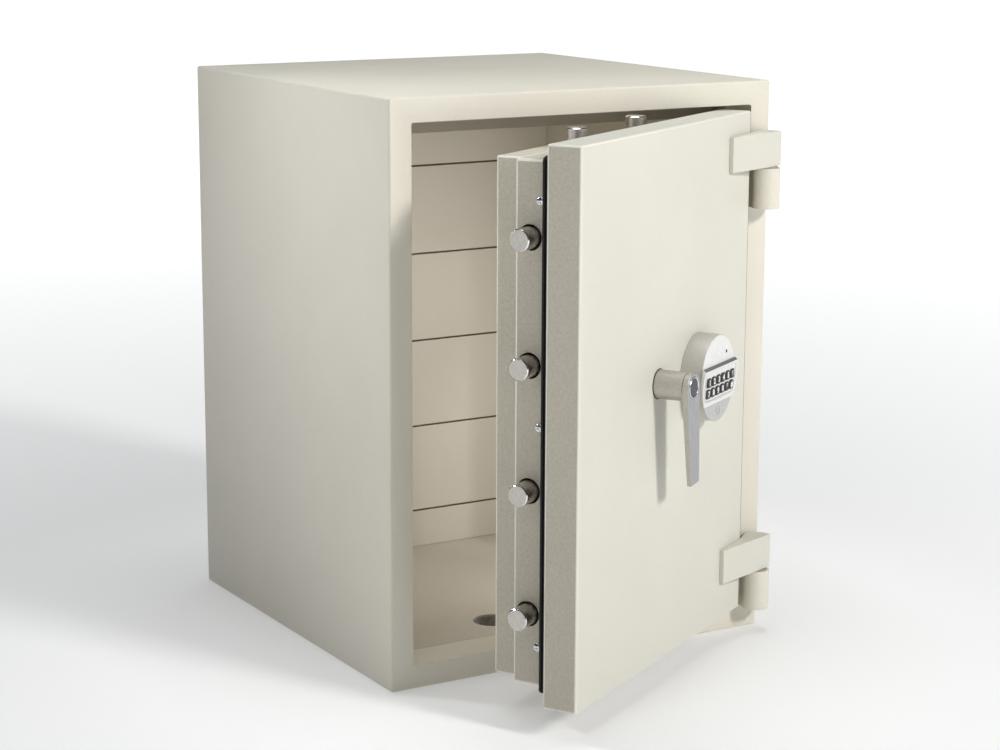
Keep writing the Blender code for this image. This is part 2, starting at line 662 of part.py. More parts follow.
def build_top_bolts(door):
    tip_z = BOX_HIGH + TOP_BOLT_SHOW
    for i, x in enumerate(TOP_BOLT_X):
        bolt("top_bolt_%d" % (i + 1), (x, BOLT_Y, tip_z), "Z", -1, door)
    bar_z = tip_z - BOLT_LENGTH - GAP
    carrier = steel(box("top_bolt_carrier",
                        (TOP_BOLT_X[0] - CARRIER_OVERHANG, BOLT_Y - CARRIER_HALF_DEPTH,
                         bar_z - CARRIER_WIDTH),
                        (TOP_BOLT_X[1] + CARRIER_OVERHANG, BOLT_Y + CARRIER_HALF_DEPTH, bar_z),
                        door))
    link = box("carrier_link", (HANDLE_X - 0.006, BOLT_Y + 0.004, HANDLE_Z + 0.026),
               (HANDLE_X + 0.006, BOLT_Y + 0.008, bar_z - 0.004), door, cutter=True)
    boolean(carrier, link, "UNION")


def build_cam(axis):
    start = BOLT_Y + 0.0095
    cam = steel(cylinder("drive_cam", (HANDLE_X, start + CAM_THICKNESS / 2, HANDLE_Z), "Y",
                         CAM_RADIUS, CAM_THICKNESS, 40, axis))
    boolean(cam, cylinder("cam_bore", (HANDLE_X, start, HANDLE_Z), "Y",
                          SPINDLE_RADIUS + GAP, 0.03, 32, axis, cutter=True))


def build_lock(door):
    face = BOX_FRONT
    case = box("lock_case", (LOCK_LOW[0], face, LOCK_LOW[1]),
               (LOCK_HIGH[0], face + LOCK_DEPTH, LOCK_HIGH[1]), door)
    bevel(case, 0.0015)
    paint(case, ZINC, 0.5, 0.6)
    bolt_y = (BOLT_Y - 0.0065, BOLT_Y - 0.0005)
    socket = box("lock_bolt_socket", (LOCK_BOLT_X[0] - GAP, bolt_y[0] - GAP, LOCK_HIGH[1] - 0.030),
                 (LOCK_BOLT_X[1] + GAP, bolt_y[1] + GAP, LOCK_HIGH[1] + 0.01), door, cutter=True)
    boolean(case, socket)
    lock_bolt = box("lock_bolt", (LOCK_BOLT_X[0], bolt_y[0], LOCK_HIGH[1] - 0.026),
                    (LOCK_BOLT_X[1], bolt_y[1], LOCK_HIGH[1] + 0.0010), door)
    paint(lock_bolt, BRASS, 0.35, 1.0)
    cable = cylinder("lock_cable", (KEYPAD_X, (DOOR_FRONT + BOX_FRONT) / 2, KEYPAD_Z), "Y",
                     CABLE_RADIUS, BOX_FRONT - DOOR_FRONT - 2 * GAP, 16, door)
    paint(cable, CABLE_BLACK, 0.6, 0.0)


# ---------------------------------------------------------------- keypad
def keypad_outline(grow=0.0, segments=64):
    half_width = KEYPAD_HALF_WIDTH + grow
    half_height = KEYPAD_HALF_HEIGHT + grow
    return [(KEYPAD_X + half_width * math.cos(2 * math.pi * i / segments),
             KEYPAD_Z + half_height * math.sin(2 * math.pi * i / segments))
            for i in range(segments)]


def silver(obj):
    paint(obj, SILVER, 0.35, 0.9)
    return obj


def key_centres():
    first = KEYPAD_X - KEY_PITCH * (KEY_COLUMNS - 1) / 2
    return [(first + KEY_PITCH * column, height)
            for height in KEY_ROW_HEIGHTS for column in range(KEY_COLUMNS)]


def fascia_surface(height):
    rise = (height - FASCIA_LOW) / (FASCIA_HIGH - FASCIA_LOW)
    return KEYPAD_FACE_Y - FASCIA_THIN - rise * (FASCIA_PROUD - FASCIA_THIN)


def build_keypad(door):
    back = DOOR_FRONT - GAP
    face = KEYPAD_FACE_Y
    housing = silver(prism("keypad_housing", keypad_outline(), "Y", face, back, door))
    wide = KEYPAD_HALF_WIDTH + OVERCUT
    tall = KEYPAD_HALF_HEIGHT + OVERCUT
    boolean(housing, box("housing_below", (KEYPAD_X - wide, face - OVERCUT, KEYPAD_Z - tall),
                         (KEYPAD_X + wide, back + OVERCUT, DRAWER_TOP), door, cutter=True))
    tray_half = TRAY_HALF_WIDTH
    tray_y = (back - 0.019, back - 0.003)
    tray_top = DRAWER_TOP + TRAY_HEIGHT
    boolean(housing, box("tray_bay",
                         (KEYPAD_X - tray_half - GAP, tray_y[0] - GAP, DRAWER_TOP - OVERCUT),
                         (KEYPAD_X + tray_half + GAP, tray_y[1] + GAP, tray_top + 0.001),
                         door, cutter=True))
    bay = KEY_BAY_HALF_WIDTH
    boolean(housing, box("key_bay",
                         (KEYPAD_X - bay, face - OVERCUT, KEY_ROW_HEIGHTS[1] - 0.0070),
                         (KEYPAD_X + bay, face + 0.0045, KEY_ROW_HEIGHTS[0] + 0.0070),
                         door, cutter=True))
    drawer = silver(prism("battery_drawer", keypad_outline(), "Y", face, back, door))
    boolean(drawer, box("drawer_above", (KEYPAD_X - wide, face - OVERCUT, DRAWER_TOP - GAP),
                        (KEYPAD_X + wide, back + OVERCUT, KEYPAD_Z + tall), door, cutter=True))
    tray = box("drawer_tray", (KEYPAD_X - tray_half, tray_y[0], DRAWER_TOP - 0.006),
               (KEYPAD_X + tray_half, tray_y[1], tray_top), door, cutter=True)
    boolean(drawer, tray, "UNION")
    space_half = tray_half - TRAY_WALL
    boolean(drawer, box("battery_space",
                        (KEYPAD_X - space_half, tray_y[0] + TRAY_WALL, DRAWER_TOP + 0.001),
                        (KEYPAD_X + space_half, tray_y[1] + OVERCUT, tray_top - TRAY_WALL),
                        door, cutter=True))
    build_fascia(door)
    build_keys(door)
    lens_x = KEYPAD_X + LENS_RIGHT
    lens_z = KEYPAD_Z + LENS_UP
    lens = cylinder("status_lens", (lens_x, face + 0.0010, lens_z), "Y", LENS_RADIUS, 0.0030, 20,
                    door)
    paint(lens, BLACK, 0.2, 0.0)
    boolean(housing, cylinder("lens_bore", (lens_x, face, lens_z), "Y", LENS_RADIUS + GAP,
                              0.0060, 20, door, cutter=True))


def build_fascia(door):
    face = KEYPAD_FACE_Y - GAP
    fascia = silver(prism("keypad_fascia", keypad_outline(0.0012), "Y",
                          KEYPAD_FACE_Y - FASCIA_PROUD - 0.001, face, door))
    profile = [(face + 0.002, FASCIA_LOW), (fascia_surface(FASCIA_LOW), FASCIA_LOW),
               (fascia_surface(FASCIA_HIGH - 0.0015), FASCIA_HIGH - 0.0015),
               (fascia_surface(FASCIA_HIGH) + 0.0015, FASCIA_HIGH), (face + 0.002, FASCIA_HIGH)]
    boolean(fascia, prism("fascia_profile", profile, "X", KEYPAD_X - 0.06, KEYPAD_X + 0.06, door,
                          cutter=True), "INTERSECT")
    for i, (x, z) in enumerate(key_centres()):
        boolean(fascia, box("key_hole_%d" % (i + 1),
                            (x - KEY_WIDTH / 2 - GAP, face - 0.010, z - KEY_HEIGHT / 2 - GAP),
                            (x + KEY_WIDTH / 2 + GAP, face + 0.010, z + KEY_HEIGHT / 2 + GAP),
                            door, cutter=True))


def build_keys(door):
    for i, (x, z) in enumerate(key_centres()):
        front = fascia_surface(z) - KEY_PROUD
        key = box("key_%02d" % (i + 1), (x - KEY_WIDTH / 2, front, z - KEY_HEIGHT / 2),
                  (x + KEY_WIDTH / 2, KEYPAD_FACE_Y + 0.0030, z + KEY_HEIGHT / 2), door)
        paint(key, DARK_PLASTIC, 0.5, 0.0)
        bevel(key, 0.0020)


def build_safe():
    build_casing()
    build_front_frame()
    build_liner()
    build_fill()
    build_back_panel()
    for which, strap_low in STRAP_HEIGHTS.items():
        build_body_hinge(which, strap_low)
    door = axis_empty("door_hinge_axis", (PIN_X, PIN_Y, 0.0))
    build_door_slab(door)
    build_bolt_box(door)
    build_box_screws(door)
    build_seal(door)
    build_dog_bar(door)
    for which, strap_low in STRAP_HEIGHTS.items():
        build_strap(which, strap_low, door)
    handle = build_handle(door)
    build_cam(handle)
    build_side_bolts(door)
    build_top_bolts(door)
    build_lock(door)
    build_keypad(door)
    door.rotation_euler = (0.0, 0.0, math.radians(DOOR_OPEN_DEG))


build_safe()
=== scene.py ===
"""Looks for the free-standing cabinet safe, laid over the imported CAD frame.

Door pieces are laid out with the door closed, in the same coordinates as the
CAD script, and DOOR turns them to the open pose. Lengths are in metres.
"""
import math

import bmesh
import bpy
from mathutils import Matrix, Vector


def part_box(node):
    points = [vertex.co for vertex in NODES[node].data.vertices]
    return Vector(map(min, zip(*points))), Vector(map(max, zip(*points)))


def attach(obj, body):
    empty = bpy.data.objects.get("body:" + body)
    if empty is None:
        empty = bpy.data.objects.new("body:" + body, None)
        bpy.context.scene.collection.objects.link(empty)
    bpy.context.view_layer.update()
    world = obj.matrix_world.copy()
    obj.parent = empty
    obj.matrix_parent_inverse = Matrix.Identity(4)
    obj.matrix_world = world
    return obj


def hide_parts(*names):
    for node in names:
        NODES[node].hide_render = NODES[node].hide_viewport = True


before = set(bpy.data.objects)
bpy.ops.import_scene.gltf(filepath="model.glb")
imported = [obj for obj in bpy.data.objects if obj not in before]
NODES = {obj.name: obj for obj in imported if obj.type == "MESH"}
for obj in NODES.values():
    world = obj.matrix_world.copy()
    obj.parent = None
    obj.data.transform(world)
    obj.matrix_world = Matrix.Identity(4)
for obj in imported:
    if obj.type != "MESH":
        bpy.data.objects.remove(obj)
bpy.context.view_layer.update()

# ---------------------------------------------------------------- sizes shared with the CAD
GAP = 0.0003
WIDTH, DEPTH, HEIGHT = 0.510, 0.510, 0.670
HALF = WIDTH / 2
FRONT, BACK = -DEPTH / 2, DEPTH / 2
CASING_WALL = 0.005
BORDER = 0.028
LIP_DEPTH = 0.050
ANCHOR_X, ANCHOR_Y, ANCHOR_RADIUS = 0.065, -0.155, 0.007
PIN = Vector((0.240, -0.272, 0.0))
PIN_RADIUS = 0.006
DOOR_OPEN = math.radians(30.5)
DOOR_FRONT = -0.260
BOX_LEFT, BOX_RIGHT = -0.191, 0.185
BOX_LOW, BOX_HIGH = 0.046, 0.617
BOX_FRONT = -0.2197
BOLT_Y = -0.1855
BOLT_RADIUS, BOLT_LENGTH = 0.0120, 0.062
SIDE_BOLT_TIP = -0.2157
SIDE_BOLT_HEIGHTS = [0.330 + (i - 1.5) * 0.1365 for i in range(4)]
TOP_BOLT_TIP = 0.6405
TOP_BOLT_X = (-0.085, 0.061)
SEAL_SIDE, SEAL_TOP, SEAL_DEPTH = 0.0125, 0.0057, 0.0145
HANDLE_X, HANDLE_Z = -0.0253, 0.3560
HUB_RADIUS, HUB_BORE = 0.0163, 0.0063
HUB_END = -0.2947
LEVER_THICKNESS = 0.0072
KEYPAD_X, KEYPAD_Z = 0.076, 0.3470
KEYPAD_HALF_X, KEYPAD_HALF_Z = 0.0465, 0.0500
KEYPAD_BACK, KEYPAD_FACE = -0.2603, -0.2873
DRAWER_TOP = 0.3190
TRAY_HALF, TRAY_TOP, TRAY_WALL = 0.020, DRAWER_TOP + 0.045, 0.0015
TRAY_FRONT, TRAY_BACK = KEYPAD_BACK - 0.019, KEYPAD_BACK - 0.003
KEY_BAY_HALF, KEY_BAY_MARGIN, KEY_BAY_DEPTH = 0.0400, 0.0070, 0.0045
LENS_RIGHT, LENS_UP = 0.0215, 0.0275
FASCIA_LOW, FASCIA_HIGH = 0.3193, 0.3640
FASCIA_PROUD, FASCIA_THIN = 0.0045, 0.0010
FASCIA_OVERHANG = 0.0012
KEY_PITCH, KEY_WIDTH, KEY_HEIGHT, KEY_PROUD = 0.0129, 0.0098, 0.0104, 0.0008
KEY_ROWS = (0.3470, 0.3340)
KEY_COLUMNS = 6
BOX_SCREW_Y = -0.1985
BOX_SCREW_HEIGHTS = (0.0895, 0.3325, 0.5735)
COVER_REAR = -0.1379
COVER_SCREW_X = (-0.157, 0.151)
COVER_SCREW_Z = (0.0675, 0.5965)

# ---------------------------------------------------------------- sizes of the looks alone
OVERCUT = 0.01                  # how far a cutting block runs past what it cuts
BOX_SCREW_RADIUS, BOX_SCREW_RISE = 0.0048, 0.0024       # larger than the CAD's, to show
COVER_SCREW_RADIUS, COVER_SCREW_RISE = 0.0045, 0.0023
KEYPAD_REACH = 0.06             # from the keypad's middle to well past its outline
FIELD_LOW, FIELD_HIGH, FIELD_INSET, FIELD_SINK = 0.3255, 0.3578, 0.0042, 0.0009
DIMPLE_DROP = 0.0372
DIMPLE_RADII = (0.0042, 0.0056)
KEY_CHARACTERS = "1234567890*#"
CHARACTER_HEIGHT, CHARACTER_RELIEF, CHARACTER_WEIGHT = 0.0088, 0.00012, 0.00034
SQUARE_ON = 0.985               # a face's largest normal component, if it is no bend
RING_STEP = 0.314               # a wave texture's ring spacing at scale 1
PHOTO_CAMERA = Vector((-1.4427, -2.4828, 0.8971))
PHOTO_ANGLES = (30.80, 11.856, 0.232)       # azimuth, pitch down, roll
PHOTO_LENS = 84.54

DOOR = Matrix.Translation(PIN) @ Matrix.Rotation(DOOR_OPEN, 4, "Z") @ Matrix.Translation(-PIN)


# ---------------------------------------------------------------- mesh helpers
def linked(name, data):
    obj = bpy.data.objects.new(name, data)
    bpy.context.scene.collection.objects.link(obj)
    return obj


def reshade(mesh, smooth_angle=35.0):
    """Smooth shading, except across edges sharper than an angle."""
    mesh.shade_smooth()
    mesh.set_sharp_from_angle(angle=math.radians(smooth_angle))


def new_object(name, shape, smooth_angle=35.0):
    """A mesh object from a bmesh, which is used up."""
    bmesh.ops.recalc_face_normals(shape, faces=shape.faces)
    mesh = bpy.data.meshes.new(name)
    shape.to_mesh(mesh)
    shape.free()
    reshade(mesh, smooth_angle)
    return linked(name, mesh)


def box(name, low, high):
    """A block between two corners."""
    shape = bmesh.new()
    bmesh.ops.create_cube(shape, size=1.0)
    for vertex in shape.verts:
        for i in range(3):
            vertex.co[i] = high[i] if vertex.co[i] > 0 else low[i]
    return new_object(name, shape)


def loft(name, rings):
    """A closed solid through rings of points, capped at both ends."""
    shape = bmesh.new()
    rows = [[shape.verts.new(p) for p in ring] for ring in rings]
    count = len(rings[0])
    for lower, upper in zip(rows, rows[1:]):
        for i in range(count):
            j = (i + 1) % count
            shape.faces.new((lower[i], lower[j], upper[j], upper[i]))
    shape.faces.new(rows[0])
    shape.faces.new(rows[-1])
    return new_object(name, shape)


def prism_y(name, outline, low, high):
    """An XZ outline swept along Y."""
    return loft(name, [[(x, y, z) for x, z in outline] for y in (low, high)])


def prism_x(name, outline, low, high):
    """A YZ outline swept along X."""
    return loft(name, [[(x, y, z) for y, z in outline] for x in (low, high)])


def on_circle(radius, height, i, segments):
    turn = 2 * math.pi * i / segments
    return (radius * math.cos(turn), radius * math.sin(turn), height)


def lathe(name, profile, segments=96):
    """(radius, height) points turned about local Z; a zero radius makes a pole."""
    shape = bmesh.new()
    rows = []
    for radius, height in profile:
        steps = segments if radius else 1
        rows.append([shape.verts.new(on_circle(radius, height, i, segments))
                     for i in range(steps)])
    for lower, upper in zip(rows, rows[1:]):
        for i in range(segments):
            j = (i + 1) % segments
            if len(lower) == 1:
                shape.faces.new((lower[0], upper[j], upper[i]))
            elif len(upper) == 1:
                shape.faces.new((lower[i], lower[j], upper[0]))
            else:
                shape.faces.new((lower[i], lower[j], upper[j], upper[i]))
    return new_object(name, shape)


def close_rows(shape, rows):
    """Faces between each row of points and the next, and from the last row to the first."""
    count = len(rows[0])
    for i, here in enumerate(rows):
        there = rows[(i + 1) % len(rows)]
        for k in range(count):
            m = (k + 1) % count
            shape.faces.new((here[k], here[m], there[m], there[k]))


def ring_lathe(name, profile, segments=96):
    """A closed (radius, height) loop turned about local Z, as a ring with a hole."""
    shape = bmesh.new()
    rows = [[shape.verts.new(on_circle(radius, height, i, segments))
             for radius, height in profile] for i in range(segments)]
    close_rows(shape, rows)
    return new_object(name, shape)


def bake(obj):
    """Apply an object's modifiers to its mesh."""
    bpy.context.view_layer.update()
    evaluated = obj.evaluated_get(bpy.context.evaluated_depsgraph_get())
    mesh = bpy.data.meshes.new_from_object(evaluated)
    obj.modifiers.clear()
    obj.data = mesh
    return obj


def combine(obj, others, operation="DIFFERENCE"):
    """Exact boolean of obj with each other object, which is used up."""
    for other in others:
        step = obj.modifiers.new("combine", "BOOLEAN")
        step.object = other
        step.operation = operation
        step.solver = "EXACT"
        bake(obj)
        bpy.data.objects.remove(other)


def soften(obj, width, segments=3, angle=30.0):
    """Round every edge sharper than an angle, keeping flat faces flat."""
    shape = bmesh.new()
    shape.from_mesh(obj.data)
    bmesh.ops.remove_doubles(shape, verts=shape.verts, dist=1e-6)
    bmesh.ops.dissolve_limit(shape, angle_limit=math.radians(0.3), verts=shape.verts,
                             edges=shape.edges)
    shape.to_mesh(obj.data)
    shape.free()
    rounding = obj.modifiers.new("rounding", "BEVEL")
    rounding.width = width
    rounding.segments = segments
    rounding.limit_method = "ANGLE"
    rounding.angle_limit = math.radians(angle)
    rounding.harden_normals = True
    rounding.miter_outer = "MITER_ARC"
    reshade(obj.data, 60.0)
    return bake(obj)


def copy_of(node, name):
    """A free copy of a CAD node's mesh, to be refined and stand in for it."""
    mesh = NODES[node].data.copy()
    if mesh.has_custom_normals:
        mesh.attributes.remove(mesh.attributes["custom_normal"])
    mesh.materials.clear()
    return linked(name, mesh)


def rounded(obj, width, front=0.0):
    """Round a door piece's outer corners by trimming it to a rounded block.

    The block runs past the piece at the front, so that edge can stay sharp.
    """
    closed = DOOR.inverted()
    points = [closed @ vertex.co for vertex in obj.data.vertices]
    low = [min(point[i] for point in points) for i in range(3)]
    high = [max(point[i] for point in points) for i in range(3)]
    low[1] -= front
    block = soften(box("block", low, high), width, 4)
    block.matrix_world = DOOR
    combine(obj, [block], "INTERSECT")
    obj.data.set_sharp_from_angle(angle=math.radians(35.0))
    turn = closed.to_3x3()
    for face in obj.data.polygons:
        face.use_smooth = is_bend(face.center, turn @ face.normal)
    return obj


def dress(obj, finish, body, stands_for=()):
    """Give a piece its finish and hang it on its CAD body."""
    obj.data.materials.clear()
    obj.data.materials.append(finish)
    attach(obj, body)
    if stands_for:
        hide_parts(*stands_for)


def tones(obj, *choices):
    """Second finishes for the faces picked by tests on their centre and door-side normal."""
    turn = DOOR.to_3x3().inverted() @ obj.matrix_world.to_3x3()
    for slot, (finish, chosen) in enumerate(choices, start=1):
        obj.data.materials.append(finish)
        for face in obj.data.polygons:
            if chosen(face.center, turn @ face.normal):
                face.material_index = slot


def is_bend(centre, normal):
    """Faces of a rounded corner."""
    return max(abs(normal.x), abs(normal.y), abs(normal.z)) < SQUARE_ON


def is_side(centre, normal):
    """Faces that look sideways, up or down, seen from before the door."""
    return abs(normal.y) < 0.6


def on_door(obj, local=None):
    """Turn a piece laid out on the closed door to the open door."""
    obj.matrix_world = DOOR @ (local if local is not None else Matrix.Identity(4))
    return obj


def facing(point, direction):
    """A frame at a point with its local Z along a direction."""
    turn = Vector((0.0, 0.0, 1.0)).rotation_difference(Vector(direction))
    return Matrix.Translation(point) @ turn.to_matrix().to_4x4()


# ---------------------------------------------------------------- materials
def principled(name, colour, roughness, metallic=0.0, specular=0.5, coat=0.0):
    finish = bpy.data.materials.new(name)
    finish.use_nodes = True
    shader = finish.node_tree.nodes["Principled BSDF"]
    shader.inputs["Base Color"].default_value = (*colour, 1.0)
    shader.inputs["Roughness"].default_value = roughness
    shader.inputs["Metallic"].default_value = metallic
    shader.inputs["Specular IOR Level"].default_value = specular
    shader.inputs["Coat Weight"].default_value = coat
    return finish, shader


class Weave:
    """Short-hand for adding texture nodes to one material."""

    def __init__(self, finish, shader, stretch=None, door_space=False):
        self.nodes = finish.node_tree.nodes
        self.links = finish.node_tree.links
        self.shader = shader
        self.coords = self.nodes.new("ShaderNodeTexCoord").outputs["Object"]
        if door_space:
            self.coords = self.mapped(rotation=(0.0, 0.0, -DOOR_OPEN))
        if stretch:
            self.coords = self.mapped(scale=stretch)

    def mapped(self, rotation=(0.0, 0.0, 0.0), scale=(1.0, 1.0, 1.0)):
        mapping = self.nodes.new("ShaderNodeMapping")
        mapping.inputs["Rotation"].default_value = rotation
        mapping.inputs["Scale"].default_value = scale
        self.links.new(self.coords, mapping.inputs["Vector"])
        return mapping.outputs["Vector"]

    def noise(self, size, detail=2.0, roughness=0.5):
        noise = self.nodes.new("ShaderNodeTexNoise")
        noise.inputs["Scale"].default_value = 1.0 / size
        noise.inputs["Detail"].default_value = detail
        noise.inputs["Roughness"].default_value = roughness
        self.links.new(self.coords, noise.inputs["Vector"])
        return noise.outputs["Fac"]

    def rings(self, size):
        wave = self.nodes.new("ShaderNodeTexWave")
        wave.wave_type = "RINGS"
        wave.rings_direction = "Z"
        wave.inputs["Scale"].default_value = RING_STEP / size
        wave.inputs["Distortion"].default_value = 0.6
        wave.inputs["Detail"].default_value = 1.0
        self.links.new(self.coords, wave.inputs["Vector"])
        return wave.outputs["Fac"]

    def ramp(self, factor, stops):
        """Colour ramp; each stop is (position, colour)."""
        ramp = self.nodes.new("ShaderNodeValToRGB")
        elements = ramp.color_ramp.elements
        while len(elements) < len(stops):
            elements.new(0.5)
        for element, (position, colour) in zip(elements, stops):
            element.position = position
            element.color = (*colour, 1.0)
        self.links.new(factor, ramp.inputs["Fac"])
        return ramp.outputs["Color"]

    def product(self, first, second):
        multiply = self.nodes.new("ShaderNodeVectorMath")
        multiply.operation = "MULTIPLY"
        self.links.new(first, multiply.inputs[0])
        self.links.new(second, multiply.inputs[1])
        return multiply.outputs["Vector"]

    def spread(self, factor, low, high):
        rescale = self.nodes.new("ShaderNodeMapRange")
        rescale.inputs["From Min"].default_value = 0.25
        rescale.inputs["From Max"].default_value = 0.75
        rescale.inputs["To Min"].default_value = low
        rescale.inputs["To Max"].default_value = high
        self.links.new(factor, rescale.inputs["Value"])
        return rescale.outputs["Result"]

    def colour(self, output):
        self.links.new(output, self.shader.inputs["Base Color"])

    def rough(self, output):
        self.links.new(output, self.shader.inputs["Roughness"])

    def bump(self, *layers):
        """Stack of (height output, relief in metres, strength)."""
        normal = None
        for height, relief, strength in layers:
            bump = self.nodes.new("ShaderNodeBump")
            bump.inputs["Distance"].default_value = relief
            bump.inputs["Strength"].default_value = strength
            self.links.new(height, bump.inputs["Height"])
            if normal is not None:
                self.links.new(normal, bump.inputs["Normal"])
            normal = bump.outputs["Normal"]
        self.links.new(normal, self.shader.inputs["Normal"])


def shade(colour, factor):
    return tuple(channel * factor for channel in colour)


def powder_coat(name, colour, roughness=0.46, grain=0.0017, relief=0.00040, strength=0.6,
                mottle=0.035):
    """Sprayed and baked powder: a fine orange-peel skin over slow colour drift."""
    finish, shader = principled(name, colour, roughness, specular=0.42)
    weave = Weave(finish, shader)
    drift = weave.noise(0.16, 3.0, 0.55)
    slow = weave.ramp(drift, [(0.30, shade(colour, 0.975)), (0.70, shade(colour, 1.02))])
    peel = weave.noise(grain, 2.0, 0.5)
    fine = weave.ramp(peel, [(0.32, (1 - mottle,) * 3), (0.68, (1 + mottle,) * 3)])
    weave.colour(weave.product(slow, fine))
    weave.rough(weave.spread(weave.noise(0.012, 4.0, 0.6), roughness - 0.05, roughness + 0.05))
    weave.bump((peel, relief, strength), (weave.noise(0.006, 1.0), 0.00025, 0.25))
    return finish


def turned_steel(name, colour, roughness=0.33, metallic=1.0):
    """Bar stock from a lathe, with tool rings on the faces and fine streaks."""
    finish, shader = principled(name, colour, roughness, metallic=metallic)
    weave = Weave(finish, shader)
    streaks = weave.noise(0.004, 5.0, 0.7)
    weave.colour(weave.ramp(streaks, [(0.3, shade(colour, 0.86)), (0.7, shade(colour, 1.08))]))
    weave.rough(weave.spread(weave.noise(0.0015, 4.0, 0.7), roughness - 0.06, roughness + 0.10))
    weave.bump((weave.rings(0.0004), 0.00002, 0.5))
    return finish


def cast_metal(name, colour, roughness=0.40, metallic=0.9, stretch=None, door_space=False,
               grain=0.0007, relief=0.00008):
    """Die-cast or satin metal: pitted or drawn skin with uneven gloss."""
    finish, shader = principled(name, colour, roughness, metallic=metallic)
    weave = Weave(finish, shader, stretch, door_space)
    mottle = weave.noise(grain * 3, 5.0, 0.65)
    weave.colour(weave.ramp(mottle, [(0.32, shade(colour, 0.86)), (0.68, shade(colour, 1.10))]))
    weave.rough(weave.spread(weave.noise(grain * 2, 3.0, 0.6), roughness - 0.07, roughness + 0.08))
    weave.bump((weave.noise(grain, 2.0), relief, 0.6))
    return finish


def moulded(name, colour, roughness, specular=0.5, grain=0.0004, relief=0.00003, coat=0.0):
    """Moulded rubber or plastic with a fine spark-eroded skin."""
    finish, shader = principled(name, colour, roughness, specular=specular, coat=coat)
    weave = Weave(finish, shader)
    weave.colour(weave.ramp(weave.noise(0.01, 4.0, 0.6),
                            [(0.3, shade(colour, 0.88)), (0.7, shade(colour, 1.12))]))
    weave.rough(weave.spread(weave.noise(0.003, 4.0, 0.6), roughness - 0.05, roughness + 0.06))
    weave.bump((weave.noise(grain, 2.0), relief, 0.6))
    return finish


def concrete(name):
    """Cast barrier fill: cement paste with aggregate and small voids."""
    finish, shader = principled(name, (0.40, 0.39, 0.36), 0.92, specular=0.2)
    weave = Weave(finish, shader)
    stones = weave.noise(0.012, 6.0, 0.65)
    weave.colour(weave.ramp(stones, [(0.25, (0.22, 0.21, 0.19)), (0.5, (0.40, 0.39, 0.36)),
                                     (0.8, (0.55, 0.53, 0.49))]))
    weave.bump((stones, 0.0010, 0.6))
    return finish


CREAM = (0.745, 0.712, 0.615)
INNER = (0.625, 0.587, 0.510)
SHELL_PAINT = powder_coat("powder_coat_shell", CREAM)
DOOR_PAINT = powder_coat("powder_coat_door", (0.680, 0.664, 0.588), relief=0.00026, mottle=0.015)
LINER_PAINT = powder_coat("powder_coat_liner", INNER, roughness=0.5, strength=0.35)
# Painted shadow: near-black brown for the inside of the back panel's grooves and for a thin line
# along the right jamb.
SHADOW_LINE_PAINT = powder_coat("painted_shadow_lines", (0.16, 0.12, 0.085), roughness=0.6)
# Painted shade: a darker copy of the coat for the bolt box, rear cover, back plate and dog bar.
SHADED_BOLTWORK_PAINT = powder_coat("painted_shade_boltwork", (0.565, 0.520, 0.425), roughness=0.5,
                             grain=0.0026, relief=0.0009, strength=0.9, mottle=0.07)
# Painted shade: a darker copy of the coat for the door's side faces.
SHADED_EDGE_PAINT = powder_coat("painted_shade_door_edge", (0.560, 0.520, 0.430), roughness=0.5,
                         grain=0.0026, relief=0.0009, strength=0.9, mottle=0.07)
# Painted highlight: a lighter copy of the coat for the rounded bends of door, bolt box and cover,
# showing as bright lines.
HIGHLIGHT_BEND_PAINT = powder_coat("painted_highlight_bends", (0.78, 0.755, 0.675), mottle=0.01)
BOLT_STEEL = turned_steel("turned_bolt_steel", (0.56, 0.53, 0.49), 0.28, 0.95)
PIN_STEEL = turned_steel("turned_pin_steel", (0.52, 0.50, 0.48), 0.33)
ZINC = cast_metal("zinc_plate", (0.62, 0.62, 0.60), 0.28, 1.0, grain=0.0010, relief=0.00002)
BRIGHT_ZINC = cast_metal("bright_zinc_screw", (0.70, 0.71, 0.72), 0.18, 1.0, grain=0.0006,
                         relief=0.00001)
BRASS = cast_metal("machined_brass", (0.70, 0.52, 0.22), 0.30, 1.0, grain=0.0008,
                   relief=0.00002)
HUB_METAL = cast_metal("cast_hub", (0.54, 0.52, 0.48), 0.40, 0.85)
LEVER_METAL = cast_metal("satin_lever", (0.415, 0.415, 0.435), 0.36, 0.85,
                         stretch=(1.0, 1.0, 0.12), door_space=True, relief=0.00003)
# Bright metal for the handle cap's ring, and a painted highlight on the bolts' end chamfers.
RIM_METAL_AND_GLINT = cast_metal("bright_rim_and_painted_glint", (0.80, 0.80, 0.80), 0.20, 1.0, relief=0.00001)
KEYPAD_PAINT = cast_metal("silver_keypad_paint", (0.80, 0.80, 0.79), 0.36, 0.25, grain=0.0005,
                          relief=0.00003)
# Painted shade: a darker copy of the keypad's silver for the sides of housing and drawer.
SHADED_KEYPAD_SIDE = cast_metal("painted_shade_keypad_side", (0.56, 0.545, 0.51), 0.42, 0.35, grain=0.0005,
                         relief=0.00003)
# Painted shade: a darker grey copy of the keypad's silver for the battery drawer.
SHADED_DRAWER_FACE = cast_metal("painted_shade_drawer_face", (0.52, 0.52, 0.52), 0.38, 0.3, grain=0.0005,
                          relief=0.00003)
# Painted reflection: near-black for the strip on the key panel's chamfer, standing in for the dark
# room the chamfer reflects.
REFLECTION_CHAMFER_FINISH = moulded("painted_reflection_chamfer", (0.16, 0.16, 0.16), 0.5)
RUBBER = moulded("black_rubber", (0.012, 0.012, 0.012), 0.6, 0.3, grain=0.0005,
                 relief=0.00006)
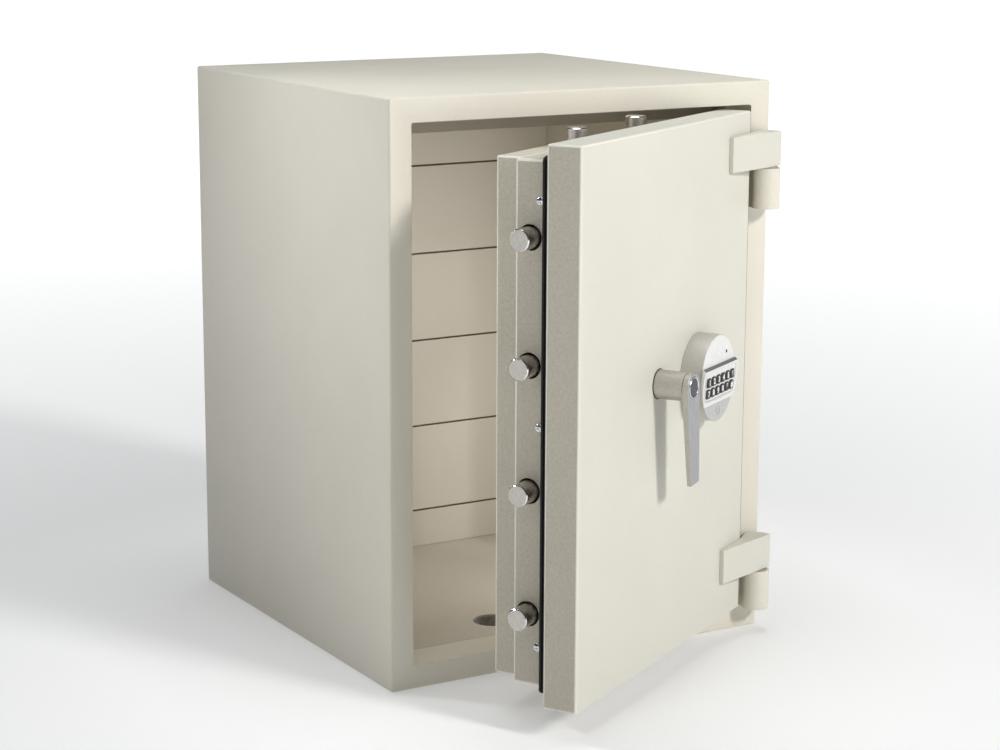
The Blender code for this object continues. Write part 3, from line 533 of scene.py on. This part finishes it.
# Painted shadow: near-black for a thin ring round the foot of the handle's hub.
SHADOW_RING_FINISH = moulded("painted_shadow_ring", (0.035, 0.033, 0.030), 0.7)
KEY_PLASTIC = moulded("dark_key", (0.05, 0.05, 0.055), 0.5, 0.3)
CAP_PLASTIC = moulded("dark_cap", (0.10, 0.10, 0.11), 0.6, 0.25)
CHARACTER_INK = moulded("key_character", (0.90, 0.90, 0.88), 0.5)
LENS = moulded("black_lens", (0.012, 0.012, 0.012), 0.08, grain=0.001, relief=0.000005, coat=0.6)
SHEATH = moulded("cable_sheath", (0.025, 0.025, 0.025), 0.5)
FILL = concrete("barrier_concrete")


# ---------------------------------------------------------------- cabinet
def build_cabinet():
    shell = box("cabinet_shell", (-HALF, FRONT, 0.0), (HALF, BACK, HEIGHT))
    soften(shell, 0.0025, 4)
    wall = CASING_WALL
    hollow = box("shell_hollow", (-HALF + wall, FRONT + LIP_DEPTH, wall),
                 (HALF - wall, BACK - wall, HEIGHT - wall))
    jamb = HALF - BORDER
    opening = box("shell_opening", (-jamb, FRONT - 2 * OVERCUT, BORDER),
                  (jamb, FRONT + LIP_DEPTH + 2 * OVERCUT, HEIGHT - BORDER))
    soften(opening, 0.0022, 4)
    reach = 2 * OVERCUT
    rod = [(0.0, -reach), (ANCHOR_RADIUS, -reach), (ANCHOR_RADIUS, reach), (0.0, reach)]
    bores = []
    for side in (-1, 1):
        bore = lathe("anchor_bore", rod, 48)
        bore.location = (side * ANCHOR_X, ANCHOR_Y, 0.0)
        bores.append(bore)
    combine(shell, [hollow, opening] + bores)
    soften(shell, 0.0009, 3)
    dress(shell, SHELL_PAINT, "cabinet", ["outer_casing", "front_frame"])
    # Painted shadow: the right jamb's rounded front edge is coloured near-black, for the shadow
    # line beside the open door's edge.
    tones(shell, (SHADOW_LINE_PAINT, lambda centre, normal: jamb - 0.0001 < centre.x < jamb + 0.0016
                  and centre.y < FRONT + 0.001 and BORDER < centre.z < HEIGHT - BORDER))

    liner = soften(copy_of("inner_liner", "liner_shell"), 0.0012, 3)
    dress(liner, LINER_PAINT, "cabinet", ["inner_liner"])
    panel = soften(copy_of("back_panel", "back_panel_sheet"), 0.0005, 2)
    dress(panel, LINER_PAINT, "cabinet", ["back_panel"])
    front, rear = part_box("back_panel")
    clear = HALF - 0.05
    # Painted shade: the faces inside the back panel's grooves are coloured near-black brown.
    tones(panel, (SHADOW_LINE_PAINT, lambda centre, normal: front.y + 0.0004 < centre.y < rear.y - 0.005
                  and -clear < centre.x < clear))
    for which in ("upper", "lower"):
        knuckle = soften(copy_of("hinge_knuckle_" + which, "knuckle_" + which), 0.0014, 4, 50.0)
        dress(knuckle, SHELL_PAINT, "cabinet", ["hinge_knuckle_" + which])
        low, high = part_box("hinge_pin_" + which)
        half, chamfer = (high.z - low.z) / 2, 0.0008
        pin = lathe("pin_" + which, [(0.0, -half), (PIN_RADIUS - chamfer, -half),
                                     (PIN_RADIUS, -half + chamfer), (PIN_RADIUS, half - chamfer),
                                     (PIN_RADIUS - chamfer, half), (0.0, half)], 48)
        pin.location = (PIN.x, PIN.y, (low.z + high.z) / 2)
        dress(pin, PIN_STEEL, "cabinet", ["hinge_pin_" + which])


# ---------------------------------------------------------------- door
def build_door():
    slab = rounded(copy_of("door_pan", "door_slab"), 0.0022)
    dress(slab, DOOR_PAINT, "door", ["door_pan"])
    # Painted shade on the door's side faces and painted highlight on its rounded bends.
    tones(slab, (SHADED_EDGE_PAINT, lambda centre, normal: abs(normal.x) > 0.9),
          (HIGHLIGHT_BEND_PAINT, is_bend))
    plate = soften(copy_of("door_back_plate", "door_back_sheet"), 0.0006, 2)
    # Painted shade: the darker boltwork copy of the coat.
    dress(plate, SHADED_BOLTWORK_PAINT, "door", ["door_back_plate"])
    case = rounded(copy_of("bolt_box", "bolt_box_case"), 0.0028, OVERCUT)
    # Painted shade: the darker boltwork copy of the coat.
    dress(case, SHADED_BOLTWORK_PAINT, "door", ["bolt_box"])
    # Painted highlight on the case's rounded bends.
    tones(case, (HIGHLIGHT_BEND_PAINT, is_bend))
    cover = rounded(copy_of("rear_cover", "rear_cover_pan"), 0.0022, OVERCUT)
    # Painted shade: the darker boltwork copy of the coat.
    dress(cover, SHADED_BOLTWORK_PAINT, "door", ["rear_cover"])
    # Painted highlight on the cover's rounded bends.
    tones(cover, (HIGHLIGHT_BEND_PAINT, is_bend))
    bar = soften(copy_of("hinge_dog_bar", "hinge_dog"), 0.0006, 2)
    # Painted shade: the darker boltwork copy of the coat.
    dress(bar, SHADED_BOLTWORK_PAINT, "door", ["hinge_dog_bar"])
    for which in ("upper", "lower"):
        strap = soften(copy_of("hinge_strap_" + which, "strap_" + which), 0.0009, 3, 25.0)
        dress(strap, DOOR_PAINT, "door", ["hinge_strap_" + which])


def build_seal():
    """Moulded sealing strip round the bolt box, its corners turned in an arc.

    The profile is in shares of the strip's reach, and in metres from its front.
    """
    steps = 8
    profile = [(0.0, 0.0), (0.70, 0.0), (0.92, 0.0012), (1.0, 0.0033), (0.97, 0.0084),
               (0.84, 0.0094), (0.84, 0.0101), (0.97, 0.0108), (1.0, 0.0122), (0.92, 0.0137),
               (0.72, SEAL_DEPTH), (0.0, SEAL_DEPTH)]
    path = []
    corners = [(BOX_RIGHT, BOX_HIGH, 0), (BOX_LEFT, BOX_HIGH, 90), (BOX_LEFT, BOX_LOW, 180),
               (BOX_RIGHT, BOX_LOW, 270)]
    for x, z, start in corners:
        for step in range(steps + 1):
            angle = math.radians(start + step * 90 / steps)
            path.append((x, z, SEAL_SIDE * math.cos(angle), SEAL_TOP * math.sin(angle)))
    shape = bmesh.new()
    rows = [[shape.verts.new((x + reach_x * u, BOX_FRONT + v, z + reach_z * u))
             for u, v in profile] for x, z, reach_x, reach_z in path]
    close_rows(shape, rows)
    bmesh.ops.remove_doubles(shape, verts=shape.verts, dist=1e-7)
    seal = on_door(new_object("door_seal_strip", shape, 50.0))
    dress(seal, RUBBER, "door", ["door_seal"])


def pan_head(name, radius, height, local, node):
    """Domed screw head with a cross recess."""
    rim, steps = 0.22, 8
    profile = [(0.0, 0.0), (radius, 0.0), (radius, height * rim)]
    for i in range(1, steps):
        angle = math.radians(i * 90 / steps)
        profile.append((radius * math.cos(angle), height * (rim + (1 - rim) * math.sin(angle))))
    profile.append((0.0, height))
    head = lathe(name, profile, 48)
    blades = []
    for turn in (0.0, 90.0):
        blade = box("blade", (-radius * 0.56, -radius * 0.10, height * 0.35),
                    (radius * 0.56, radius * 0.10, height + 0.001))
        blade.rotation_euler = (0.0, 0.0, math.radians(turn + 20.0))
        blades.append(blade)
    well = lathe("well", [(0.0, height * 0.3), (radius * 0.20, height * 0.3),
                          (radius * 0.26, height + 0.001), (0.0, height + 0.001)], 24)
    combine(head, blades + [well])
    reshade(head.data)
    on_door(head, local)
    dress(head, BRIGHT_ZINC, "door", [node])


def build_screws():
    for i, height in enumerate(BOX_SCREW_HEIGHTS):
        spot = (BOX_LEFT - GAP, BOX_SCREW_Y, height)
        pan_head("box_screw_head_%d" % (i + 1), BOX_SCREW_RADIUS, BOX_SCREW_RISE,
                 facing(spot, (-1, 0, 0)), "box_screw_%d" % (i + 1))
    spots = [(x, z) for x in COVER_SCREW_X for z in COVER_SCREW_Z]
    for i, (x, z) in enumerate(spots):
        spot = (x, COVER_REAR + GAP, z)
        pan_head("cover_screw_head_%d" % (i + 1), COVER_SCREW_RADIUS, COVER_SCREW_RISE,
                 facing(spot, (0, 1, 0)), "cover_screw_%d" % (i + 1))


# ---------------------------------------------------------------- boltwork
def round_bolt(name, tip, direction, body, node):
    """Turned bar with a chamfered, faced end; local Z points out of the door."""
    radius, chamfer = BOLT_RADIUS, 0.0011
    profile = [(0.0, -BOLT_LENGTH), (radius, -BOLT_LENGTH), (radius, -chamfer),
               (radius - chamfer, 0.0), (0.0, 0.0)]
    bar = on_door(lathe(name, profile), facing(tip, direction))
    dress(bar, BOLT_STEEL, body, [node])
    # Painted highlight: the end chamfer in near-white bright metal, as a glint round the face.
    tones(bar, (RIM_METAL_AND_GLINT, lambda centre, normal: -chamfer < centre.z < 0.0))


def build_bolts():
    for i, height in enumerate(SIDE_BOLT_HEIGHTS):
        round_bolt("side_bolt_bar_%d" % (i + 1), (SIDE_BOLT_TIP, BOLT_Y, height), (-1, 0, 0),
                   "side_bolts", "side_bolt_%d" % (i + 1))
    for i, x in enumerate(TOP_BOLT_X):
        round_bolt("top_bolt_bar_%d" % (i + 1), (x, BOLT_Y, TOP_BOLT_TIP), (0, 0, 1),
                   "top_bolts", "top_bolt_%d" % (i + 1))


# ---------------------------------------------------------------- handle
def build_handle():
    length = DOOR_FRONT - GAP - HUB_END
    radius, chamfer = HUB_RADIUS, 0.0006
    profile = [(HUB_BORE, 0.0), (radius - chamfer, 0.0), (radius, chamfer), (radius, length),
               (HUB_BORE, length)]
    hub = ring_lathe("hub_sleeve", profile)
    on_door(hub, facing((HANDLE_X, DOOR_FRONT - GAP, HANDLE_Z), (0, -1, 0)))
    dress(hub, HUB_METAL, "handle", ["handle_hub"])
    # Painted shadow: a thin near-black ring where the hub meets the door, for the shadow line
    # there.
    inside, outside, low, high = HUB_BORE + 0.0005, radius + 0.0009, 0.00004, 0.00026
    ring = ring_lathe("hub_foot_shadow_ring", [(inside, low), (outside, low), (outside, high),
                                     (inside, high)])
    on_door(ring, facing((HANDLE_X, DOOR_FRONT, HANDLE_Z), (0, -1, 0)))
    dress(ring, SHADOW_RING_FINISH, "door")
    lever = soften(copy_of("handle_lever", "lever_arm"), 0.0006, 3)
    dress(lever, LEVER_METAL, "handle", ["handle_lever"])
    tones(lever, (HUB_METAL, is_side))
    face = HUB_END - GAP - LEVER_THICKNESS
    seat = facing((HANDLE_X, face + 0.0010, HANDLE_Z), (0, -1, 0))
    rim = ring_lathe("cap_rim", [(0.0106, 0.0), (0.0120, 0.0), (0.0120, 0.0011),
                                 (0.0116, 0.0015), (0.0110, 0.0015), (0.0106, 0.0010)])
    dress(on_door(rim, seat), RIM_METAL_AND_GLINT, "handle")
    disc = lathe("cap_disc", [(0.0, 0.0), (0.0104, 0.0), (0.0104, 0.0008), (0.0100, 0.0011),
                              (0.0060, 0.0013), (0.0, 0.0014)])
    dress(on_door(disc, seat), CAP_PLASTIC, "handle", ["handle_cap"])


# ---------------------------------------------------------------- keypad
def oval(grow, segments=128):
    """The keypad's outline in XZ, grown outwards."""
    return [(KEYPAD_X + (KEYPAD_HALF_X + grow) * math.cos(2 * math.pi * i / segments),
             KEYPAD_Z + (KEYPAD_HALF_Z + grow) * math.sin(2 * math.pi * i / segments))
            for i in range(segments)]


def oval_body(name):
    """The keypad's outer form: an oval drum with a turned-over front edge."""
    rings = []
    for depth, inset in ((KEYPAD_BACK, 0.0), (KEYPAD_FACE + 0.0012, 0.0),
                         (KEYPAD_FACE + 0.0005, 0.0002), (KEYPAD_FACE + 0.0001, 0.0007),
                         (KEYPAD_FACE, 0.0013)):
        rings.append([(x, depth, z) for x, z in oval(-inset)])
    return loft(name, rings)


def fascia_surface(height):
    """Y of the sloping key panel at a height."""
    rise = (height - FASCIA_LOW) / (FASCIA_HIGH - FASCIA_LOW)
    return KEYPAD_FACE - FASCIA_THIN - rise * (FASCIA_PROUD - FASCIA_THIN)


def key_centres():
    first = KEYPAD_X - KEY_PITCH * (KEY_COLUMNS - 1) / 2
    return [(first + KEY_PITCH * column, height)
            for height in KEY_ROWS for column in range(KEY_COLUMNS)]


def rounded_rectangle(x, z, half_x, half_z, radius, steps=6):
    points = []
    for sign_x, sign_z, start in ((1, 1, 0), (-1, 1, 90), (-1, -1, 180), (1, -1, 270)):
        for i in range(steps + 1):
            angle = math.radians(start + 90 * i / steps)
            points.append((x + sign_x * (half_x - radius) + radius * math.cos(angle),
                           z + sign_z * (half_z - radius) + radius * math.sin(angle)))
    return points


def build_housing():
    """Upper part of the oval, hollowed for the drawer's tray and for the keys."""
    housing = oval_body("keypad_case")
    cuts = [box("below", (KEYPAD_X - KEYPAD_REACH, KEYPAD_FACE - OVERCUT, KEYPAD_Z - KEYPAD_REACH),
                (KEYPAD_X + KEYPAD_REACH, KEYPAD_BACK + OVERCUT, DRAWER_TOP)),
            box("bay", (KEYPAD_X - TRAY_HALF - GAP, TRAY_FRONT - GAP, DRAWER_TOP - OVERCUT),
                (KEYPAD_X + TRAY_HALF + GAP, TRAY_BACK + GAP, TRAY_TOP + 0.001)),
            box("keys", (KEYPAD_X - KEY_BAY_HALF, KEYPAD_FACE - OVERCUT,
                         KEY_ROWS[1] - KEY_BAY_MARGIN),
                (KEYPAD_X + KEY_BAY_HALF, KEYPAD_FACE + KEY_BAY_DEPTH,
                 KEY_ROWS[0] + KEY_BAY_MARGIN))]
    combine(housing, cuts)
    reshade(housing.data)
    dress(on_door(housing), KEYPAD_PAINT, "door", ["keypad_housing"])
    # Painted shade on the housing's sides.
    tones(housing, (SHADED_KEYPAD_SIDE, is_side))


def build_drawer():
    """Lower end of the oval with the battery tray that rises behind the keys."""
    drawer = oval_body("battery_drawer_shell")
    combine(drawer, [box("above", (KEYPAD_X - KEYPAD_REACH, KEYPAD_FACE - OVERCUT,
                                   DRAWER_TOP - GAP),
                         (KEYPAD_X + KEYPAD_REACH, KEYPAD_BACK + OVERCUT,
                          KEYPAD_Z + KEYPAD_REACH))])
    combine(drawer, [box("tray", (KEYPAD_X - TRAY_HALF, TRAY_FRONT, DRAWER_TOP - 0.006),
                         (KEYPAD_X + TRAY_HALF, TRAY_BACK, TRAY_TOP))], "UNION")
    space_half = TRAY_HALF - TRAY_WALL
    combine(drawer, [box("space", (KEYPAD_X - space_half, TRAY_FRONT + TRAY_WALL,
                                   DRAWER_TOP + 0.001),
                         (KEYPAD_X + space_half, TRAY_BACK + OVERCUT, TRAY_TOP - TRAY_WALL))])
    inside, outside = DIMPLE_RADII
    low, high = -0.0005, 0.002
    dimple = ring_lathe("dimple", [(inside, low), (outside, low), (outside, high),
                                   (inside, high)])
    dimple.matrix_world = facing((KEYPAD_X, KEYPAD_FACE, KEYPAD_Z - DIMPLE_DROP), (0, -1, 0))
    combine(drawer, [dimple])
    reshade(drawer.data)
    # Painted shade: the drawer in the darker copy of the keypad's silver.
    dress(on_door(drawer), SHADED_DRAWER_FACE, "battery_drawer", ["battery_drawer"])
    # Painted shade on the drawer's sides.
    tones(drawer, (SHADED_KEYPAD_SIDE, is_side))


def build_lens():
    lens = lathe("lens_dome", [(0.0, 0.0), (0.0019, 0.0), (0.0019, 0.0003), (0.0015, 0.0006),
                               (0.0007, 0.0008), (0.0, 0.00085)], 32)
    spot = (KEYPAD_X + LENS_RIGHT, KEYPAD_FACE + 0.0001, KEYPAD_Z + LENS_UP)
    dress(on_door(lens, facing(spot, (0, -1, 0))), LENS, "door", ["status_lens"])


def build_fascia():
    """Sloping key panel with a chamfered brow and a sunk field round the keys."""
    face = KEYPAD_FACE - GAP
    brow = 0.0030
    fascia = prism_y("key_panel", oval(FASCIA_OVERHANG), KEYPAD_FACE - FASCIA_PROUD - 0.001,
                     face)
    profile = [(face + 0.002, FASCIA_LOW), (fascia_surface(FASCIA_LOW), FASCIA_LOW),
               (fascia_surface(FASCIA_HIGH - brow), FASCIA_HIGH - brow),
               (face - 0.0004, FASCIA_HIGH), (face + 0.002, FASCIA_HIGH)]
    combine(fascia, [prism_x("profile", profile, KEYPAD_X - KEYPAD_REACH,
                             KEYPAD_X + KEYPAD_REACH)], "INTERSECT")
    soften(fascia, 0.0004, 2)
    field = [(x, z) for x, z in oval(-FIELD_INSET) if FIELD_LOW < z < FIELD_HIGH]
    right = sorted([p for p in field if p[0] > KEYPAD_X], key=lambda p: p[1])
    left = sorted([p for p in field if p[0] < KEYPAD_X], key=lambda p: -p[1])
    outline = [(right[0][0], FIELD_LOW)] + right + [(right[-1][0], FIELD_HIGH),
                                                    (left[0][0], FIELD_HIGH)]
    outline += left + [(left[-1][0], FIELD_LOW)]
    sunk = loft("field", [[(x, fascia_surface(z) + depth, z) for x, z in outline]
                          for depth in (-0.004, FIELD_SINK)])
    holes = []
    for x, z in key_centres():
        ring = rounded_rectangle(x, z, KEY_WIDTH / 2 + GAP, KEY_HEIGHT / 2 + GAP, 0.0022)
        holes.append(prism_y("hole", ring, face - 0.012, face + 0.010))
    combine(fascia, [sunk] + holes)
    reshade(fascia.data)
    dress(on_door(fascia), KEYPAD_PAINT, "door", ["keypad_fascia"])
    build_brow_strip(face, brow)


def build_brow_strip(face, brow):
    """Thin dark strip lying on the chamfer above the keys: a painted dark reflection."""
    half = KEYPAD_HALF_X * math.sqrt(1 - ((FASCIA_HIGH - KEYPAD_Z) / KEYPAD_HALF_Z) ** 2) + 0.0004
    proud = 0.00012
    low = (fascia_surface(FASCIA_HIGH - brow) + 0.0001, FASCIA_HIGH - brow + 0.0003)
    high = (face - 0.0006, FASCIA_HIGH - 0.0001)
    outline = [low, high, (high[0] - proud, high[1] + proud), (low[0] - proud, low[1] + proud)]
    strip = prism_x("brow_reflection_strip", outline, KEYPAD_X - half, KEYPAD_X + half)
    dress(on_door(strip), REFLECTION_CHAMFER_FINISH, "door")


def key_cap(name, x, z, front):
    """Rounded cap with a slightly domed top, lofted through inset rings."""
    layers = [(KEYPAD_FACE + 0.0030, 0.0), (front + 0.0006, 0.0), (front + 0.00025, 0.00015),
              (front, 0.0006), (front - 0.00005, 0.0018), (front + 0.00005, 0.0034)]
    rings = []
    for depth, inset in layers:
        ring = rounded_rectangle(x, z, KEY_WIDTH / 2 - inset, KEY_HEIGHT / 2 - inset,
                                 max(0.0021 - inset, 0.0006))
        rings.append([(px, depth, pz) for px, pz in ring])
    return loft(name, rings)


def key_character(name, character):
    """One raised character of a telephone pad, as a mesh in its own XY plane."""
    text = bpy.data.curves.new("character", "FONT")
    text.body = character
    text.size = CHARACTER_HEIGHT
    text.extrude = CHARACTER_RELIEF
    text.offset = CHARACTER_WEIGHT
    text.align_x = "CENTER"
    text.align_y = "CENTER"
    source = linked("character", text)
    bpy.context.view_layer.update()
    mesh = bpy.data.meshes.new_from_object(
        source.evaluated_get(bpy.context.evaluated_depsgraph_get()))
    bpy.data.objects.remove(source)
    return linked(name, mesh)


def build_keys():
    upright = Matrix.Rotation(math.pi / 2, 4, "X")
    for i, (x, z) in enumerate(key_centres()):
        front = fascia_surface(z) - KEY_PROUD
        body = "key_%02d" % (i + 1)
        cap = key_cap("key_cap_%02d" % (i + 1), x, z, front)
        dress(on_door(cap), KEY_PLASTIC, body, [body])
        character = key_character("key_character_%02d" % (i + 1), KEY_CHARACTERS[i])
        place = Matrix.Translation((x, front - CHARACTER_RELIEF, z)) @ upright
        dress(on_door(character, place), CHARACTER_INK, body)


# ---------------------------------------------------------------- CAD nodes kept as they are
CARRIED = {
    "barrier_fill": FILL, "door_fill": FILL,
    "thrust_washer_upper": PIN_STEEL, "thrust_washer_lower": PIN_STEEL,
    "lock_case": ZINC, "lock_bolt": BRASS, "lock_cable": SHEATH,
    "handle_spindle": PIN_STEEL, "drive_cam": ZINC,
    "side_bolt_carrier": ZINC, "top_bolt_carrier": ZINC,
}


def finish_carried():
    for node, finish in CARRIED.items():
        mesh = NODES[node].data
        mesh.materials.clear()
        mesh.materials.append(finish)


# ---------------------------------------------------------------- studio
def build_floor():
    """Pale floor that brightens away from the cabinet."""
    shape = bmesh.new()
    bmesh.ops.create_grid(shape, x_segments=1, y_segments=1, size=30.0)
    floor = new_object("studio_floor", shape)
    floor.location = (0.0, 0.0, -0.0006)
    finish, shader = principled("pale_floor", (0.70, 0.70, 0.70), 0.8, specular=0.1)
    weave = Weave(finish, shader)
    reach = weave.nodes.new("ShaderNodeVectorMath")
    reach.operation = "LENGTH"
    weave.links.new(weave.coords, reach.inputs[0])
    glow = weave.nodes.new("ShaderNodeMapRange")
    for name, value in (("From Min", 0.7), ("From Max", 4.5), ("To Min", 0.24), ("To Max", 1.0)):
        glow.inputs[name].default_value = value
    weave.links.new(reach.outputs["Value"], glow.inputs["Value"])
    weave.links.new(glow.outputs["Result"], shader.inputs["Emission Strength"])
    shader.inputs["Emission Color"].default_value = (1.0, 1.0, 1.0, 1.0)
    floor.data.materials.append(finish)


def soft_box(name, place, aim, size, watts, colour, spread=180.0):
    """A rectangular lamp at a place, turned towards a point."""
    lamp = bpy.data.lights.new(name, "AREA")
    lamp.shape = "RECTANGLE"
    lamp.size, lamp.size_y = size
    lamp.energy = watts
    lamp.color = colour
    lamp.spread = math.radians(spread)
    obj = linked(name, lamp)
    obj.location = place
    obj.rotation_euler = (Vector(aim) - Vector(place)).to_track_quat("-Z", "Y").to_euler()


def build_lights():
    world = bpy.data.worlds.new("studio")
    bpy.context.scene.world = world
    world.use_nodes = True
    background = world.node_tree.nodes["Background"]
    background.inputs["Color"].default_value = (1.0, 0.995, 0.985, 1.0)
    background.inputs["Strength"].default_value = 0.04
    cool, warm = (0.95, 0.98, 1.0), (1.0, 0.985, 0.965)
    soft_box("overhead", (0.0, 0.3, 5.5), (0.0, 0.0, 0.0), (3.0, 3.0), 158.0, cool)
    soft_box("key", (2.09, -5.10, 3.49), (0.0, -0.4, 0.4), (0.9, 0.9), 228.0, warm)
    soft_box("front_right", (1.9, -3.2, 1.3), (0.0, 0.0, 0.35), (1.8, 2.0), 7.0, warm)
    soft_box("upper_left", (-2.4, -1.9, 2.6), (0.0, -0.2, 0.3), (1.2, 1.2), 8.0, cool)
    soft_box("rake", (-1.21, 0.77, 1.43), (-0.20, -0.43, 0.42), (0.25, 0.25), 0.8, cool, 40.0)
    soft_box("inside", (0.12, -0.12, 0.30), (-0.16, 0.17, 0.20), (0.12, 0.54), 0.73, warm)


def build_camera():
    """The photograph's view, solved from the cabinet's and the door's straight edges."""
    azimuth, pitch, roll = (math.radians(angle) for angle in PHOTO_ANGLES)
    data = bpy.data.cameras.new("camera")
    data.sensor_width = 36.0
    data.lens = PHOTO_LENS
    forward = Vector((math.sin(azimuth) * math.cos(pitch), math.cos(azimuth) * math.cos(pitch),
                      -math.sin(pitch)))
    level = Vector((math.cos(azimuth), -math.sin(azimuth), 0.0))
    above = level.cross(forward)
    right = math.cos(roll) * level + math.sin(roll) * above
    up = -math.sin(roll) * level + math.cos(roll) * above
    camera = linked("camera", data)
    turn = Matrix((right, up, -forward)).transposed().to_4x4()
    camera.matrix_world = Matrix.Translation(PHOTO_CAMERA) @ turn
    bpy.context.scene.camera = camera


build_cabinet()
build_door()
build_seal()
build_screws()
build_bolts()
build_handle()
build_housing()
build_drawer()
build_lens()
build_fascia()
build_keys()
finish_carried()
build_floor()
build_lights()
build_camera()
bpy.context.scene.view_settings.view_transform = "Standard"
